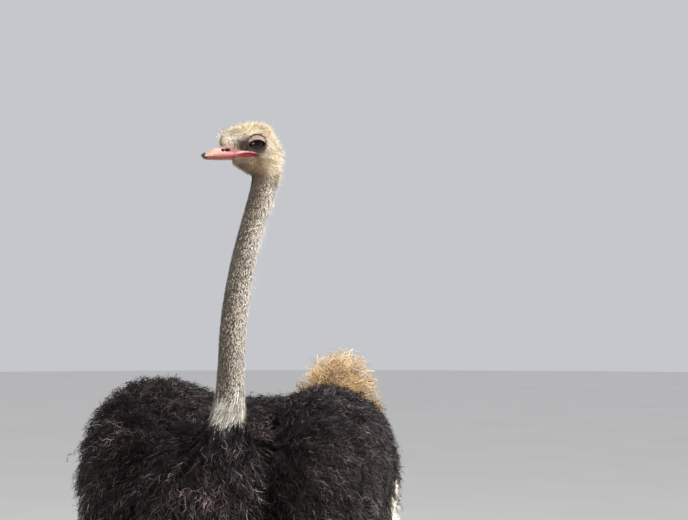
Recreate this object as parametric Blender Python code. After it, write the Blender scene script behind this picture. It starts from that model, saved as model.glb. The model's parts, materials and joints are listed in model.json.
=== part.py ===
"""A standing male ostrich at life size: one closed solid for each part that a person would name.

Metres, +Z up. The breast faces -Y and the bird's left side is at +X. It stands on its toes at Z = 0.
Every solid reaches the tips of its feathers, and neighbours keep a thin clearance.
"""

import math

import bmesh
import bpy
from mathutils import Vector

# Driving dimensions of the whole bird
CLEARANCE = 0.0004  # between neighbouring solids
BACK_HEIGHT = 1.466  # top of the plumage on the back
TRUNK_DEPTH = 0.54  # back to belly, with feathers
TRUNK_WIDTH = 0.54  # flank to flank under the wings
BREAST_Y = -0.51
RUMP_Y = 0.53
HEAD_HEIGHT = 2.094
HIP_HEIGHT = 1.06
ANKLE_HEIGHT = 0.48
STANCE_HALF_WIDTH = 0.13
STRIDES = {1: -0.055, -1: 0.045}  # the left foot stands ahead of the right one
SPREADS = {1: 0.0, -1: 0.075}  # the right wing is held a little away from the body
FOOT_Y = 0.110  # the toe joints, so that the toes reach forward under the centre of mass
FLOOR = 0.0

# The neck rises from the breast a little left of the middle, and leans left again near the head
NECK_BASE = Vector((0.070, -0.420, 1.430))
NECK_RADIUS = 0.0345

# The head looks to the bird's right, almost square to the body
HEAD_CENTRE = Vector((0.127, -0.404, HEAD_HEIGHT))  # the middle of the head, just above and ahead of the eyes
HEAD_TURN = math.radians(-68)  # from straight ahead; negative is towards the bird's right
HEAD_AHEAD = Vector((math.sin(HEAD_TURN), -math.cos(HEAD_TURN), 0))
HEAD_LEFT = Vector((math.cos(HEAD_TURN), math.sin(HEAD_TURN), 0))
EYE_RADIUS = 0.0215
EYE_OUT = 0.0305  # eye's centre from the middle of the head
EYE_BACK, EYE_DOWN = 0.0045, 0.0090  # and from the head's own reference point

# Colours: base colour, roughness
BLACK_PLUME = ((0.012, 0.010, 0.011), 0.75)
WHITE_PLUME = ((0.78, 0.76, 0.70), 0.80)
TAIL_PLUME = ((0.62, 0.48, 0.30), 0.80)
NECK_DOWN = ((0.48, 0.44, 0.38), 0.85)
HEAD_DOWN = ((0.62, 0.54, 0.38), 0.85)
BILL_HORN = ((0.72, 0.28, 0.24), 0.40)
EYE_BROWN = ((0.020, 0.010, 0.008), 0.05)
LEG_SKIN = ((0.50, 0.36, 0.31), 0.65)
SCALED_SKIN = ((0.42, 0.30, 0.26), 0.60)
CLAW_HORN = ((0.10, 0.08, 0.07), 0.45)

X_AXIS = Vector((1, 0, 0))


def clear_scene():
    for old in list(bpy.data.objects):
        bpy.data.objects.remove(old)


def material(name, finish):
    """A Principled material with this (base colour, roughness)."""
    colour, roughness = finish
    made = bpy.data.materials.get(name) or bpy.data.materials.new(name)
    made.use_nodes = True
    shader = made.node_tree.nodes["Principled BSDF"]
    shader.inputs["Base Color"].default_value = (*colour, 1)
    shader.inputs["Roughness"].default_value = roughness
    shader.inputs["Metallic"].default_value = 0
    return made


def name_for(part, side):
    """The part's name with _l on the bird's left and _r on its right."""
    return f"{part}_l" if side > 0 else f"{part}_r"


def new_object(name, form, finish_name, finish):
    """An object that owns the finished bmesh, shaded smooth."""
    bmesh.ops.recalc_face_normals(form, faces=form.faces)
    mesh = bpy.data.meshes.new(name)
    form.to_mesh(mesh)
    form.free()
    mesh.materials.append(material(finish_name, finish))
    mesh.shade_smooth()
    mesh.set_sharp_from_angle(angle=math.radians(50))
    made = bpy.data.objects.new(name, mesh)
    bpy.context.scene.collection.objects.link(made)
    return made


def row_at(keys, share):
    """The row at this share of the way along the keys, on a Catmull-Rom curve through them."""
    span = share * (len(keys) - 1)
    first = min(int(span), len(keys) - 2)
    f = span - first
    near = [keys[max(0, min(len(keys) - 1, first + k))] for k in (-1, 0, 1, 2)]
    return [
        0.5 * (2 * b + (c - a) * f + (2 * a - 5 * b + 4 * c - d) * f * f + (3 * b - a - 3 * c + d) * f**3)
        for a, b, c, d in zip(*near)
    ]


def rounding(share, caps):
    """How far the section has opened at this share, when each end is rounded over its cap."""
    opened = 1.0
    for distance, cap in ((share, caps[0]), (1 - share, caps[1])):
        if distance < cap:
            opened *= math.sqrt(max(0.0, 1 - (1 - distance / cap) ** 2))
    return opened


def loft(keys, rings, sides, across=X_AXIS, caps=(0.2, 0.2), fullness=2.0, scallops=(0, 0)):
    """A closed tube through keys of (x, y, z, half width, half depth).

    Sections are superellipses square to the line through the keys, with their width along `across`.
    Scallops are (how many lobes go round a section, how deep they are as a share).
    """
    form = bmesh.new()
    loops = []
    for k in range(rings):
        share = (1 - math.cos(math.pi * k / (rings - 1))) / 2
        x, y, z, half_width, half_depth = row_at(keys, share)
        before, after = row_at(keys, max(0, share - 0.02)), row_at(keys, min(1, share + 0.02))
        ahead = Vector(after[:3]) - Vector(before[:3])
        ahead.normalize()
        side = (across - ahead * across.dot(ahead)).normalized()
        other = ahead.cross(side)
        opened = rounding(share, caps)
        centre = Vector((x, y, z))
        if opened < 1e-3:
            loops.append([form.verts.new(centre)])
            continue
        loop = []
        for j in range(sides):
            turn = 2 * math.pi * j / sides
            c, s = math.cos(turn), math.sin(turn)
            c = math.copysign(abs(c) ** (2 / fullness), c)
            s = math.copysign(abs(s) ** (2 / fullness), s)
            size = opened * (1 + scallops[1] * math.cos(scallops[0] * turn))
            loop.append(form.verts.new(centre + size * (side * half_width * c + other * half_depth * s)))
        loops.append(loop)
    for low, high in zip(loops, loops[1:]):
        for j in range(sides):
            n = (j + 1) % sides
            corners = (low[j % len(low)], low[n % len(low)], high[n % len(high)], high[j % len(high)])
            form.faces.new(list(dict.fromkeys(corners)))
    for loop in (loops[0], loops[-1]):
        if len(loop) > 1:
            form.faces.new(loop)
    return form


def cut_level(form, height, upward):
    """Cuts the form at this height, drops what lies above (upward 1) or below (-1) and closes the cut."""
    geometry = list(form.verts) + list(form.edges) + list(form.faces)
    level, outer = Vector((0, 0, height)), Vector((0, 0, upward))
    cut = bmesh.ops.bisect_plane(form, geom=geometry, plane_co=level, plane_no=outer, clear_outer=True)
    rim = [e for e in cut["geom_cut"] if isinstance(e, bmesh.types.BMEdge)]
    if rim:
        bmesh.ops.edgeloop_fill(form, edges=rim)


def keep_between(form, low, high):
    """Keeps the form between two heights, half a clearance inside each."""
    cut_level(form, low + CLEARANCE / 2, -1)
    cut_level(form, high - CLEARANCE / 2, 1)


def stay_clear_of(piece, *others):
    """Cuts each of the others, grown by the clearance, out of the piece."""
    for other in others:
        grown = bpy.data.objects.new(f"grown_{other.name}_for_{piece.name}", other.data.copy())
        bpy.context.scene.collection.objects.link(grown)
        form = bmesh.new()
        form.from_mesh(grown.data)
        form.normal_update()
        moved = [v.co + v.normal * CLEARANCE for v in form.verts]
        for vertex, place in zip(form.verts, moved):
            vertex.co = place
        form.to_mesh(grown.data)
        form.free()
        grown.hide_render = True
        grown.display_type = "WIRE"
        cut = piece.modifiers.new(f"clear_of_{other.name}", "BOOLEAN")
        cut.operation = "DIFFERENCE"
        cut.solver = "EXACT"
        cut.object = grown


def trunk():
    """The body from breast to rump, deepest just behind the shoulders."""
    mid = BACK_HEIGHT - TRUNK_DEPTH / 2
    half_w, half_d = TRUNK_WIDTH / 2, TRUNK_DEPTH / 2
    keys = [
        (0, BREAST_Y, mid + 0.045, 0.60 * half_w, 0.62 * half_d),
        (0, -0.34, mid + 0.030, 0.82 * half_w, 0.84 * half_d),
        (0, -0.16, mid + 0.008, 0.98 * half_w, 0.98 * half_d),
        (0, 0.03, mid - 0.002, 1.00 * half_w, 1.00 * half_d),
        (0, 0.21, mid + 0.008, 0.93 * half_w, 0.94 * half_d),
        (0, 0.38, mid + 0.030, 0.76 * half_w, 0.78 * half_d),
        (0, RUMP_Y, mid + 0.055, 0.52 * half_w, 0.54 * half_d),
    ]
    form = loft(keys, rings=20, sides=32, caps=(0.24, 0.24), fullness=2.1)
    return new_object("trunk", form, "black_plume", BLACK_PLUME)


def wing(side, spread):
    """A folded wing: a full mound from the shoulder along the flank. Spread moves it out and up."""
    keys = [
        (side * (0.145 + 0.5 * spread), -0.37, 1.275, 0.085, 0.130),
        (side * (0.182 + 0.8 * spread), -0.24, 1.255 + 0.2 * spread, 0.138, 0.225),
        (side * (0.192 + spread), -0.08, 1.242 + 0.2 * spread, 0.154, 0.268),
        (side * (0.190 + spread), 0.09, 1.230 + 0.2 * spread, 0.148, 0.262),
        (side * (0.172 + 0.8 * spread), 0.25, 1.208, 0.128, 0.228),
        (side * (0.142 + 0.5 * spread), 0.43, 1.170, 0.094, 0.160),
    ]
    form = loft(keys, rings=16, sides=22, caps=(0.26, 0.26), fullness=2.2)
    return new_object(name_for("wing", side), form, "black_plume", BLACK_PLUME)


def wing_plumes(side, spread):
    """The white quill plumes: a thin fan behind the folded wing, its rim scalloped by their round tips."""
    fan_y, fan_z = 0.015, 1.300  # where the quills would meet
    first, last = math.radians(4), math.radians(74)  # quill directions, below straight back
    longest, shortest = 0.560, 0.400
    hidden = 0.18  # share of each quill inside the wing
    notch = 0.07  # how far the rim dips between two tips, as a share
    rim_half_thickness, middle_half_thickness = 0.005, 0.031
    tips, steps_per_tip, rows = 6, 4, 4
    columns = tips * steps_per_tip

    def out_at(back, turn):
        """Distance from the middle of the body: the fan closes in behind the flank and flares lower down."""
        return 0.262 + 0.55 * spread - 0.42 * max(0, back - 0.12) ** 1.3 + 0.05 * math.sin(turn)

    form = bmesh.new()
    sheets = []
    for face in (1, -1):
        sheet = []
        for j in range(columns + 1):
            share = j / columns
            turn = first + (last - first) * share
            tip = abs(math.sin(math.pi * tips * share)) ** 0.6
            rim = (longest + (shortest - longest) * share) * (1 - notch + notch * tip)
            line = []
            for k in range(rows + 1):
                reach = hidden + (1 - hidden) * k / rows
                back, down = math.cos(turn) * rim * reach, math.sin(turn) * rim * reach
                bulge = math.sqrt(max(0, 1 - reach**4) * math.sin(math.pi * (0.04 + 0.92 * share)))
                half = rim_half_thickness + (middle_half_thickness - rim_half_thickness) * bulge
                out = out_at(back, turn) + face * half
                line.append(form.verts.new((side * out, fan_y + back, fan_z - down)))
            sheet.append(line)
        sheets.append(sheet)
    for sheet in sheets:
        for a, b in zip(sheet, sheet[1:]):
            for k in range(rows):
                form.faces.new((a[k], a[k + 1], b[k + 1], b[k]))
    outer_rim, inner_rim = (
        sheet[0] + [line[-1] for line in sheet[1:]] + sheet[-1][-2::-1] + [line[0] for line in sheet[-2:0:-1]]
        for sheet in sheets
    )
    for k in range(len(outer_rim)):
        n = (k + 1) % len(outer_rim)
        form.faces.new((outer_rim[k], outer_rim[n], inner_rim[n], inner_rim[k]))
    return new_object(name_for("wing_plumes", side), form, "white_plume", WHITE_PLUME)


def tail():
    """A mop of plumes cocked above the rump, that curls over and hangs behind."""
    keys = [
        (0.022, 0.360, 1.305, 0.068, 0.070),
        (0.044, 0.450, 1.408, 0.084, 0.095),
        (0.056, 0.545, 1.458, 0.090, 0.110),
        (0.056, 0.640, 1.412, 0.088, 0.104),
        (0.048, 0.700, 1.308, 0.078, 0.084),
        (0.040, 0.722, 1.190, 0.058, 0.052),
    ]
    form = loft(keys, rings=14, sides=24, caps=(0.15, 0.3), scallops=(8, 0.05))
    return new_object("tail", form, "tail_plume", TAIL_PLUME)


def neck_keys():
    """The neck's centre line and half sizes, from inside the breast to inside the head."""
    x, y, z = NECK_BASE
    top = HEAD_CENTRE - HEAD_AHEAD * 0.022
    r = NECK_RADIUS
    return [
        (x - 0.062, y + 0.100, z - 0.230, 0.200, 0.165),
        (x - 0.034, y + 0.040, z - 0.105, 0.112, 0.108),
        (x, y, z, 0.051, 0.050),
        (x + 0.016, y - 0.030, z + 0.110, 1.07 * r, 1.09 * r),
        (x + 0.028, y - 0.045, z + 0.235, 1.04 * r, 1.06 * r),
        (x + 0.047, y - 0.040, z + 0.362, 1.00 * r, 1.02 * r),
        (x + 0.068, y - 0.020, z + 0.470, 0.96 * r, 0.98 * r),
        (x + 0.091, y + 0.001, z + 0.572, 1.03 * r, 1.07 * r),
        (top.x, top.y, top.z - 0.010, 1.06 * r, 1.12 * r),
    ]


def neck():
    """The neck, modelled whole and parted into three lengths by level cuts."""
    lengths = (
        ("neck_lower", NECK_BASE.z - 0.3, NECK_BASE.z, 24, "black_plume", BLACK_PLUME),
        ("neck_middle", NECK_BASE.z, NECK_BASE.z + 0.30, 16, "neck_down", NECK_DOWN),
        ("neck_upper", NECK_BASE.z + 0.30, HEAD_CENTRE.z, 16, "neck_down", NECK_DOWN),
    )
    made = []
    for name, low, high, sides, finish_name, finish in lengths:
        form = loft(neck_keys(), rings=28, sides=sides, caps=(0.08, 0.03))
        keep_between(form, low, high)
        made.append(new_object(name, form, finish_name, finish))
    return made


def head_row(ahead, up, half_width, half_depth):
    """A loft key from its place on the head: distances ahead of and above its middle."""
    place = HEAD_CENTRE + HEAD_AHEAD * ahead + Vector((0, 0, up))
    return (*place, half_width, half_depth)


def head():
    """The head with its down: flat crown, full cheeks, steep forehead."""
    keys = [
        head_row(0.0740, -0.0170, 0.0235, 0.0200),
        head_row(0.066, -0.0105, 0.0300, 0.0340),
        head_row(0.051, -0.0080, 0.037, 0.0430),
        head_row(0.028, -0.0095, 0.045, 0.0535),
        head_row(0.004, -0.013, 0.050, 0.061),
        head_row(-0.022, -0.014, 0.050, 0.058),
        head_row(-0.046, -0.020, 0.043, 0.053),
        head_row(-0.070, -0.025, 0.030, 0.036),
    ]
    form = loft(keys, rings=16, sides=20, across=HEAD_LEFT, caps=(0.10, 0.2), fullness=2.15)
    return new_object("head", form, "head_down", HEAD_DOWN)


def bill():
    """The flat, round-tipped bill, its two halves parted along the gape."""
    upper_keys = [
        head_row(0.055, -0.0215, 0.0260, 0.0155),
        head_row(0.0800, -0.0232, 0.0228, 0.0126),
        head_row(0.1020, -0.0290, 0.0200, 0.0073),
        head_row(0.1150, -0.0322, 0.0160, 0.0048),
        head_row(0.1240, -0.0342, 0.0112, 0.0034),
    ]
    lower_keys = [
        head_row(0.056, -0.0378, 0.0235, 0.0070),
        head_row(0.085, -0.0383, 0.0208, 0.0058),
        head_row(0.103, -0.0388, 0.0170, 0.0046),
        head_row(0.1175, -0.0385, 0.0112, 0.0036),
    ]
    upper = loft(upper_keys, rings=12, sides=14, across=HEAD_LEFT, caps=(0.05, 0.3), fullness=2.1)
    lower = loft(lower_keys, rings=10, sides=12, across=HEAD_LEFT, caps=(0.05, 0.35), fullness=2.1)
    return (
        new_object("bill_upper", upper, "bill_horn", BILL_HORN),
        new_object("bill_lower", lower, "bill_horn", BILL_HORN),
    )


def eye(side):
    """One eyeball, mostly sunk in the head."""
    centre = HEAD_CENTRE + HEAD_LEFT * side * EYE_OUT - HEAD_AHEAD * EYE_BACK - Vector((0, 0, EYE_DOWN))
    form = bmesh.new()
    bmesh.ops.create_uvsphere(form, u_segments=12, v_segments=8, radius=EYE_RADIUS)
    bmesh.ops.translate(form, verts=form.verts, vec=centre)
    return new_object(name_for("eye", side), form, "eye_brown", EYE_BROWN)


def leg(side, stride):
    """Drumstick and tarsus in one line from hip to foot, parted at the ankle. Stride moves the foot."""
    x = side * STANCE_HALF_WIDTH

    def at(out, back, z, half_width, half_depth):
        return (x + side * out, FOOT_Y + back + stride * (1 - z / HIP_HEIGHT), z, half_width, half_depth)

    keys = [
        at(0.010, -0.045, HIP_HEIGHT, 0.092, 0.140),
        at(0.020, -0.050, 0.935, 0.090, 0.132),
        at(0.018, -0.020, 0.810, 0.075, 0.104),
        at(0.012, 0.028, 0.690, 0.053, 0.068),
        at(0.006, 0.070, 0.585, 0.037, 0.046),
        at(0.003, 0.096, ANKLE_HEIGHT + 0.030, 0.036, 0.047),
        at(0.002, 0.094, ANKLE_HEIGHT - 0.045, 0.031, 0.039),
        at(0.000, 0.062, 0.345, 0.0235, 0.030),
        at(-0.001, 0.030, 0.220, 0.0225, 0.028),
        at(-0.002, 0.000, 0.115, 0.0260, 0.032),
        at(-0.003, -0.014, 0.050, 0.0310, 0.038),
    ]
    parts = (
        ("drumstick", ANKLE_HEIGHT, HIP_HEIGHT + 1, 22, 16, "leg_skin", LEG_SKIN),
        ("tarsus", FLOOR, ANKLE_HEIGHT, 24, 12, "scaled_skin", SCALED_SKIN),
    )
    made = []
    for part, low, high, rings, sides, finish_name, finish in parts:
        form = loft(keys, rings=rings, sides=sides, caps=(0.03, 0.04))
        keep_between(form, low, high)
        made.append(new_object(name_for(part, side), form, finish_name, finish))
    return made


def toe(name, root, length, splay, half_width, half_depth):
    """A padded toe with a flat sole, and the direction and place of its tip."""
    ahead = Vector((math.sin(splay), -math.cos(splay), 0))
    across = Vector((math.cos(splay), math.sin(splay), 0))
    shape = (  # share of the length; height of the centre, width and depth as shares of the toe's own
        (0.00, 1.47, 0.98, 1.05),
        (0.25, 1.06, 1.05, 1.06),
        (0.50, 0.81, 0.96, 0.88),
        (0.75, 0.69, 0.88, 0.78),
        (1.00, 0.59, 0.70, 0.62),
    )
    keys = [
        (*(root + ahead * share * length).xy, height * half_depth, wide * half_width, deep * half_depth)
        for share, height, wide, deep in shape
    ]
    form = loft(keys, rings=10, sides=12, across=across, caps=(0.22, 0.2))
    cut_level(form, FLOOR, -1)
    return new_object(name, form, "scaled_skin", SCALED_SKIN), ahead, across


def claw(name, root, ahead, across, length, half_width, height):
    """A blunt nail that curves down to just above the floor."""
    lift = 0.0015
    keys = [
        (*(root - ahead * 0.25 * length).xy, 1.05 * height, 0.90 * half_width, 0.55 * height),
        (*(root + ahead * 0.20 * length).xy, 0.90 * height, 1.00 * half_width, 0.60 * height),
        (*(root + ahead * 0.65 * length).xy, 0.62 * height, 0.75 * half_width, 0.45 * height),
        (*(root + ahead * 1.00 * length).xy, 0.30 * height + lift, 0.40 * half_width, 0.20 * height),
    ]
    form = loft(keys, rings=8, sides=8, across=across, caps=(0.1, 0.25))
    return new_object(name, form, "claw_horn", CLAW_HORN)


def foot(side, stride):
    """Two toes: the great one straight ahead, the small one splayed outwards."""
    root = Vector((side * (STANCE_HALF_WIDTH - 0.003), FOOT_Y - 0.004 + stride, FLOOR))
    small_root = root + Vector((side * 0.030, -0.004, 0))
    made = []
    for part, start, length, splay, toe_width, toe_depth, claw_length, claw_width, claw_height in (
        ("main", root, 0.175, 4, 0.034, 0.034, 0.062, 0.0165, 0.019),
        ("outer", small_root, 0.110, 30, 0.022, 0.026, 0.022, 0.0085, 0.012),
    ):
        name = name_for(f"toe_{part}", side)
        piece, ahead, across = toe(name, start, length, side * math.radians(splay), toe_width, toe_depth)
        tip = start + ahead * (length - 0.004)
        nail = claw(name_for(f"claw_{part}", side), tip, ahead, across, claw_length, claw_width, claw_height)
        made += [piece, nail]
    return made


def stand_on_origin():
    """Moves everything so that the origin is under the middle of the bird, on the floor."""
    bpy.context.view_layer.update()
    graph = bpy.context.evaluated_depsgraph_get()
    shown = [o for o in bpy.data.objects if o.type == "MESH" and not o.hide_render]
    corners = [o.matrix_world @ Vector(c) for o in shown for c in o.evaluated_get(graph).bound_box]
    middle = [(min(c[k] for c in corners) + max(c[k] for c in corners)) / 2 for k in (0, 1)]
    for o in bpy.data.objects:
        o.location -= Vector((*middle, 0))


def build():
    clear_scene()
    body = trunk()
    wings = {side: wing(side, spread) for side, spread in SPREADS.items()}
    plumes = {side: wing_plumes(side, spread) for side, spread in SPREADS.items()}
    tail_piece = tail()
    neck_lower, neck_middle, neck_upper = neck()
    skull = head()
    bill_upper, bill_lower = bill()
    eyes = [eye(1), eye(-1)]

    for side in (1, -1):
        stay_clear_of(wings[side], body)
        stay_clear_of(plumes[side], body, wings[side])
    stay_clear_of(tail_piece, body)
    stay_clear_of(neck_lower, body, *wings.values())
    stay_clear_of(neck_upper, skull)
    stay_clear_of(bill_upper, skull)
    stay_clear_of(bill_lower, skull, bill_upper)
    stay_clear_of(skull, *eyes)

    for side, stride in STRIDES.items():
        drumstick, tarsus = leg(side, stride)
        great, great_claw, small, small_claw = foot(side, stride)
        stay_clear_of(drumstick, body, wings[side], plumes[side])
        stay_clear_of(great, tarsus)
        stay_clear_of(small, tarsus, great)
        stay_clear_of(great_claw, great)
        stay_clear_of(small_claw, small)
    stand_on_origin()


build()
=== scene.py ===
# %% [markdown]
# # A standing ostrich, dressed over its plain solids
# The solids of the bird come first: smooth closed shapes that reach the feather tips. This lesson lays one
# skin inside them, then grows everything that a visitor sees on it: bristles on the head and neck, frizzy
# black body plumes, white wing plumes, the curled tail, scales and nails. Every place is worked out from
# the solids, so the dressed bird keeps their size. We load them before anything else.

import json
import math

import bmesh
import bpy
import numpy as np
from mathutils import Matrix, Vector
from mathutils.bvhtree import BVHTree

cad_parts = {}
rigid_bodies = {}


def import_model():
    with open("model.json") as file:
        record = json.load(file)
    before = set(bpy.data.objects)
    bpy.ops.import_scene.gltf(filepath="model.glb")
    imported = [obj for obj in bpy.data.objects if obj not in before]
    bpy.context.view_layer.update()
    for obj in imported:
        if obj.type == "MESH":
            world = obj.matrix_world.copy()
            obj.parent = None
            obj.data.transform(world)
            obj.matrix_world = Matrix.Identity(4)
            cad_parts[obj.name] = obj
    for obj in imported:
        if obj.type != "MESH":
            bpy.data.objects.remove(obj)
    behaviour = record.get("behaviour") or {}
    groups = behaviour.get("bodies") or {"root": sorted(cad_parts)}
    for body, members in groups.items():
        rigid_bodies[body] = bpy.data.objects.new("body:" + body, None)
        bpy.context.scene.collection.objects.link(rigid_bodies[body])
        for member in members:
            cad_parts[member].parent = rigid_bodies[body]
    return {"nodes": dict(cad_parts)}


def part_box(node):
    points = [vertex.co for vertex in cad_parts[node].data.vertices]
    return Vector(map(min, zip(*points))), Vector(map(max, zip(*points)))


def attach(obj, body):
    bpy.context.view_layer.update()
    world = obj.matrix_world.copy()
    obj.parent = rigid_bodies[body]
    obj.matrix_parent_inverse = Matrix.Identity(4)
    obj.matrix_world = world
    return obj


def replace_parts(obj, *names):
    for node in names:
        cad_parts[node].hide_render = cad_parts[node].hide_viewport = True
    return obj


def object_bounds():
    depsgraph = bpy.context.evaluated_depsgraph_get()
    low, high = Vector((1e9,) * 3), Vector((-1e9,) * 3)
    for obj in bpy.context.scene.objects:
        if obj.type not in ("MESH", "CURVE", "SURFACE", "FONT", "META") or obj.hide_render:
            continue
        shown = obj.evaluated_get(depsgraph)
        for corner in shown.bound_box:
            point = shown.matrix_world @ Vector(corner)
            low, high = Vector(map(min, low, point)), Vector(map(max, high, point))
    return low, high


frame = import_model()
solid_box = [list(corner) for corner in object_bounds()]
print("solids:", len(frame["nodes"]), "box", [[round(v, 3) for v in corner] for corner in solid_box])

# %% [markdown]
# ## Directions on the bird
# The bird faces -Y and its left side is at +X, but its head is turned to its right. The two eyes tell us
# how: the line between them is the head's left-right axis, and the bill points square to it. Measuring this
# from the solids is safer than typing the angle again, because then the two can't disagree.

# %% Axes of the head and body
UP = np.array([0.0, 0.0, 1.0])
LEFT = np.array([1.0, 0.0, 0.0])
FRONT = np.array([0.0, -1.0, 0.0])


def unit(v):
    """Vectors scaled to length one, along the last axis."""
    return v / np.maximum(np.linalg.norm(v, axis=-1, keepdims=True), 1e-12)


def middle(node):
    low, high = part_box(node)
    return np.array((low + high) / 2)


eye_centres = {1: middle("eye_l"), -1: middle("eye_r")}
head_centre = (eye_centres[1] + eye_centres[-1]) / 2
head_left = unit((eye_centres[1] - eye_centres[-1]) * (1, 1, 0))
head_ahead = np.cross(head_left, UP) * -1.0
if head_ahead @ (middle("bill_upper") - head_centre) < 0:
    head_ahead = -head_ahead
eye_radius = (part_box("eye_l")[1].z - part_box("eye_l")[0].z) / 2
eye_out = float((eye_centres[1] - head_centre) @ head_left)
print("head centre", head_centre.round(3), "ahead", head_ahead.round(3), "eye radius", round(eye_radius, 4))


def head_frame(points):
    """Places as (ahead, left, up) from the point between the eyes."""
    d = np.asarray(points) - head_centre
    return np.stack([d @ head_ahead, d @ head_left, d @ UP], axis=-1)


def from_head(ahead, left, up):
    """The reverse: places in the room from head distances."""
    ahead, left, up = np.broadcast_arrays(ahead, left, up)
    return head_centre + ahead[..., None] * head_ahead + left[..., None] * head_left + up[..., None] * UP


# %% [markdown]
# ## Small tools for smooth changes
# Markings, coat length and skin folds all fade into each other. Two small functions do all of that fading:
# `ramp` climbs gently from 0 to 1 between two values, and `bump` is a soft hill around a value. `waves`
# adds the slow unevenness that no living surface is without; it is a sum of a few sines, so it needs no
# table.


# %% Fading and unevenness
def ramp(x, low, high):
    t = np.clip((np.asarray(x, float) - low) / (high - low), 0, 1)
    return t * t * (3 - 2 * t)


def bump(x, centre, width):
    return np.exp(-(((np.asarray(x, float) - centre) / width) ** 2))


A_TURN = 6.28  # radians: random phases lie between 0 and this


def waves(points, size, seed=0):
    """Slow, smooth unevenness between about -1 and 1, with hills about `size` apart."""
    rng = np.random.default_rng(seed)
    total = 0
    for k in range(5):
        way = unit(rng.normal(size=3))
        phase = points @ way * (2 * math.pi / size) * (0.7 + 0.25 * k)
        total = total + np.sin(phase + rng.uniform(0, A_TURN))
    return total / 3.2


def soft_weights(sigma):
    """The weights of a bell curve; they add up to 1."""
    reach = int(3 * sigma)
    weights = np.exp(-0.5 * (np.arange(-reach, reach + 1) / sigma) ** 2)
    return weights / weights.sum()


def blurred(field, rows, columns):
    """The grid with each value averaged over its neighbours; columns run round the body and so wrap."""
    for axis, sigma, mode in ((0, rows, "edge"), (1, columns, "wrap")):
        weights = soft_weights(sigma)
        reach = len(weights) // 2
        pad = [(0, 0)] * field.ndim
        pad[axis] = (reach, reach)
        wide = np.pad(field, pad, mode=mode)
        count = field.shape[axis]
        field = sum(w * np.take(wide, np.arange(i, i + count), axis=axis) for i, w in enumerate(weights))
    return field


# %% [markdown]
# ## Rings for the skin
# A skin from rump to bill can be one long tube if its rings turn corners well. Where the neck leaves the
# back, and again where the head leaves the throat, the rings fan out like the pages of a book whose spine
# lies in the open air of the corner, so no two rings cross. Each ring has a centre, a direction towards the
# bird's underside and a direction to its left. For every point of a ring we look inwards from far outside
# and stop at the first solid: that gives the outer surface of trunk, wings, neck and head together, with no
# seam between them. Joining all the solids with one remesh would close them as well, but it would leave no
# rows and columns, and every later step uses these as its map.


# %% Looking at the solids
def corners_of(name):
    """The corner points of a solid."""
    return np.array([v.co for v in frame["nodes"][name].data.vertices])


def surfaces_of(names):
    """Corners and faces of these solids together."""
    corners, faces = [], []
    for name in names:
        mesh = frame["nodes"][name].data
        first = len(corners)
        corners += [tuple(v.co) for v in mesh.vertices]
        faces += [[first + i for i in p.vertices] for p in mesh.polygons]
    return corners, faces


def tree_of(*names):
    """A search tree over the surfaces of these solids."""
    return BVHTree.FromPolygons(*surfaces_of(names))


body_tree = tree_of("trunk", "wing_l", "wing_r", "neck_lower", "neck_middle")
head_tree = tree_of("neck_lower", "neck_middle", "neck_upper", "head", "eye_l", "eye_r")


def reach_of(tree, centre, way, limit):
    """How far the outer surface lies from the centre along `way`, seen from outside; nan if there is none."""
    place, _, _, distance = tree.ray_cast(Vector(centre + way * limit), Vector(-way), limit)
    return math.nan if place is None else limit - distance


# %% One ring of the skin
class Ring:
    """One section of the skin: a centre, the ways to the underside and the left, and where to look from."""

    def __init__(self, centre, ventral, left, tree, limit, corner=None, low=0.0):
        self.ventral, self.left, self.tree, self.limit, self.corner = ventral, left, tree, limit, corner
        ends = [centre + ventral * limit, centre - ventral * limit]
        if corner is not None:  # one end of the line of sight is the corner itself
            gap = (corner - centre) @ ventral
            ends[0 if gap > 0 else 1] = centre + ventral * gap
        way = unit(ends[1] - ends[0])
        seen = [tree.ray_cast(Vector(end), Vector(turn * way))[0] for end, turn in zip(ends, (1, -1))]
        self.centre = np.array(seen[0] + seen[1]) / 2 + low * ventral

    def reach(self, way):
        limit = self.limit
        if self.corner is not None:
            gap = self.corner - self.centre
            gap = gap - (gap @ self.left) * self.left
            toward = way @ unit(gap)
            if toward > 1e-3:
                limit = min(limit, 0.985 * np.linalg.norm(gap) / toward)
        return reach_of(self.tree, self.centre, way, limit)


# %% Rings of the trunk and the neck's foot
TRUNK_RINGS, NECK_FOOT_RINGS, THROAT_RINGS, FACE_RINGS = 84, 54, 65, 33
BODY_REACH, NECK_REACH, THROAT_REACH = 0.7, 0.12, 0.15  # metres: each ring looks in from this far out


def to_neck_middle(place):
    """The level step from this place to the middle of the neck."""
    hits = [reach_of(head_tree, place, way, NECK_REACH) for way in (LEFT, -LEFT, FRONT, -FRONT)]
    return LEFT * (hits[0] - hits[1]) / 2 + FRONT * (hits[2] - hits[3]) / 2


trunk_low, trunk_high = (np.array(c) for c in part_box("trunk"))
trunk_mid = (trunk_low + trunk_high) / 2
neck_foot = middle("neck_middle") * (1, 1, 0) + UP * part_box("neck_middle")[0].z
for _ in range(3):  # the neck leans, so its foot is found where it is
    neck_foot = neck_foot + to_neck_middle(neck_foot + UP * 0.004)
back_corner = np.array([0.0, neck_foot[1] + 0.115, neck_foot[2] + 0.105])
throat_corner = from_head(0.0495, 0.0, -0.076)
head_front = head_frame(corners_of("head"))[:, 0].max() - 0.0062  # the skin ends inside the bill

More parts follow.
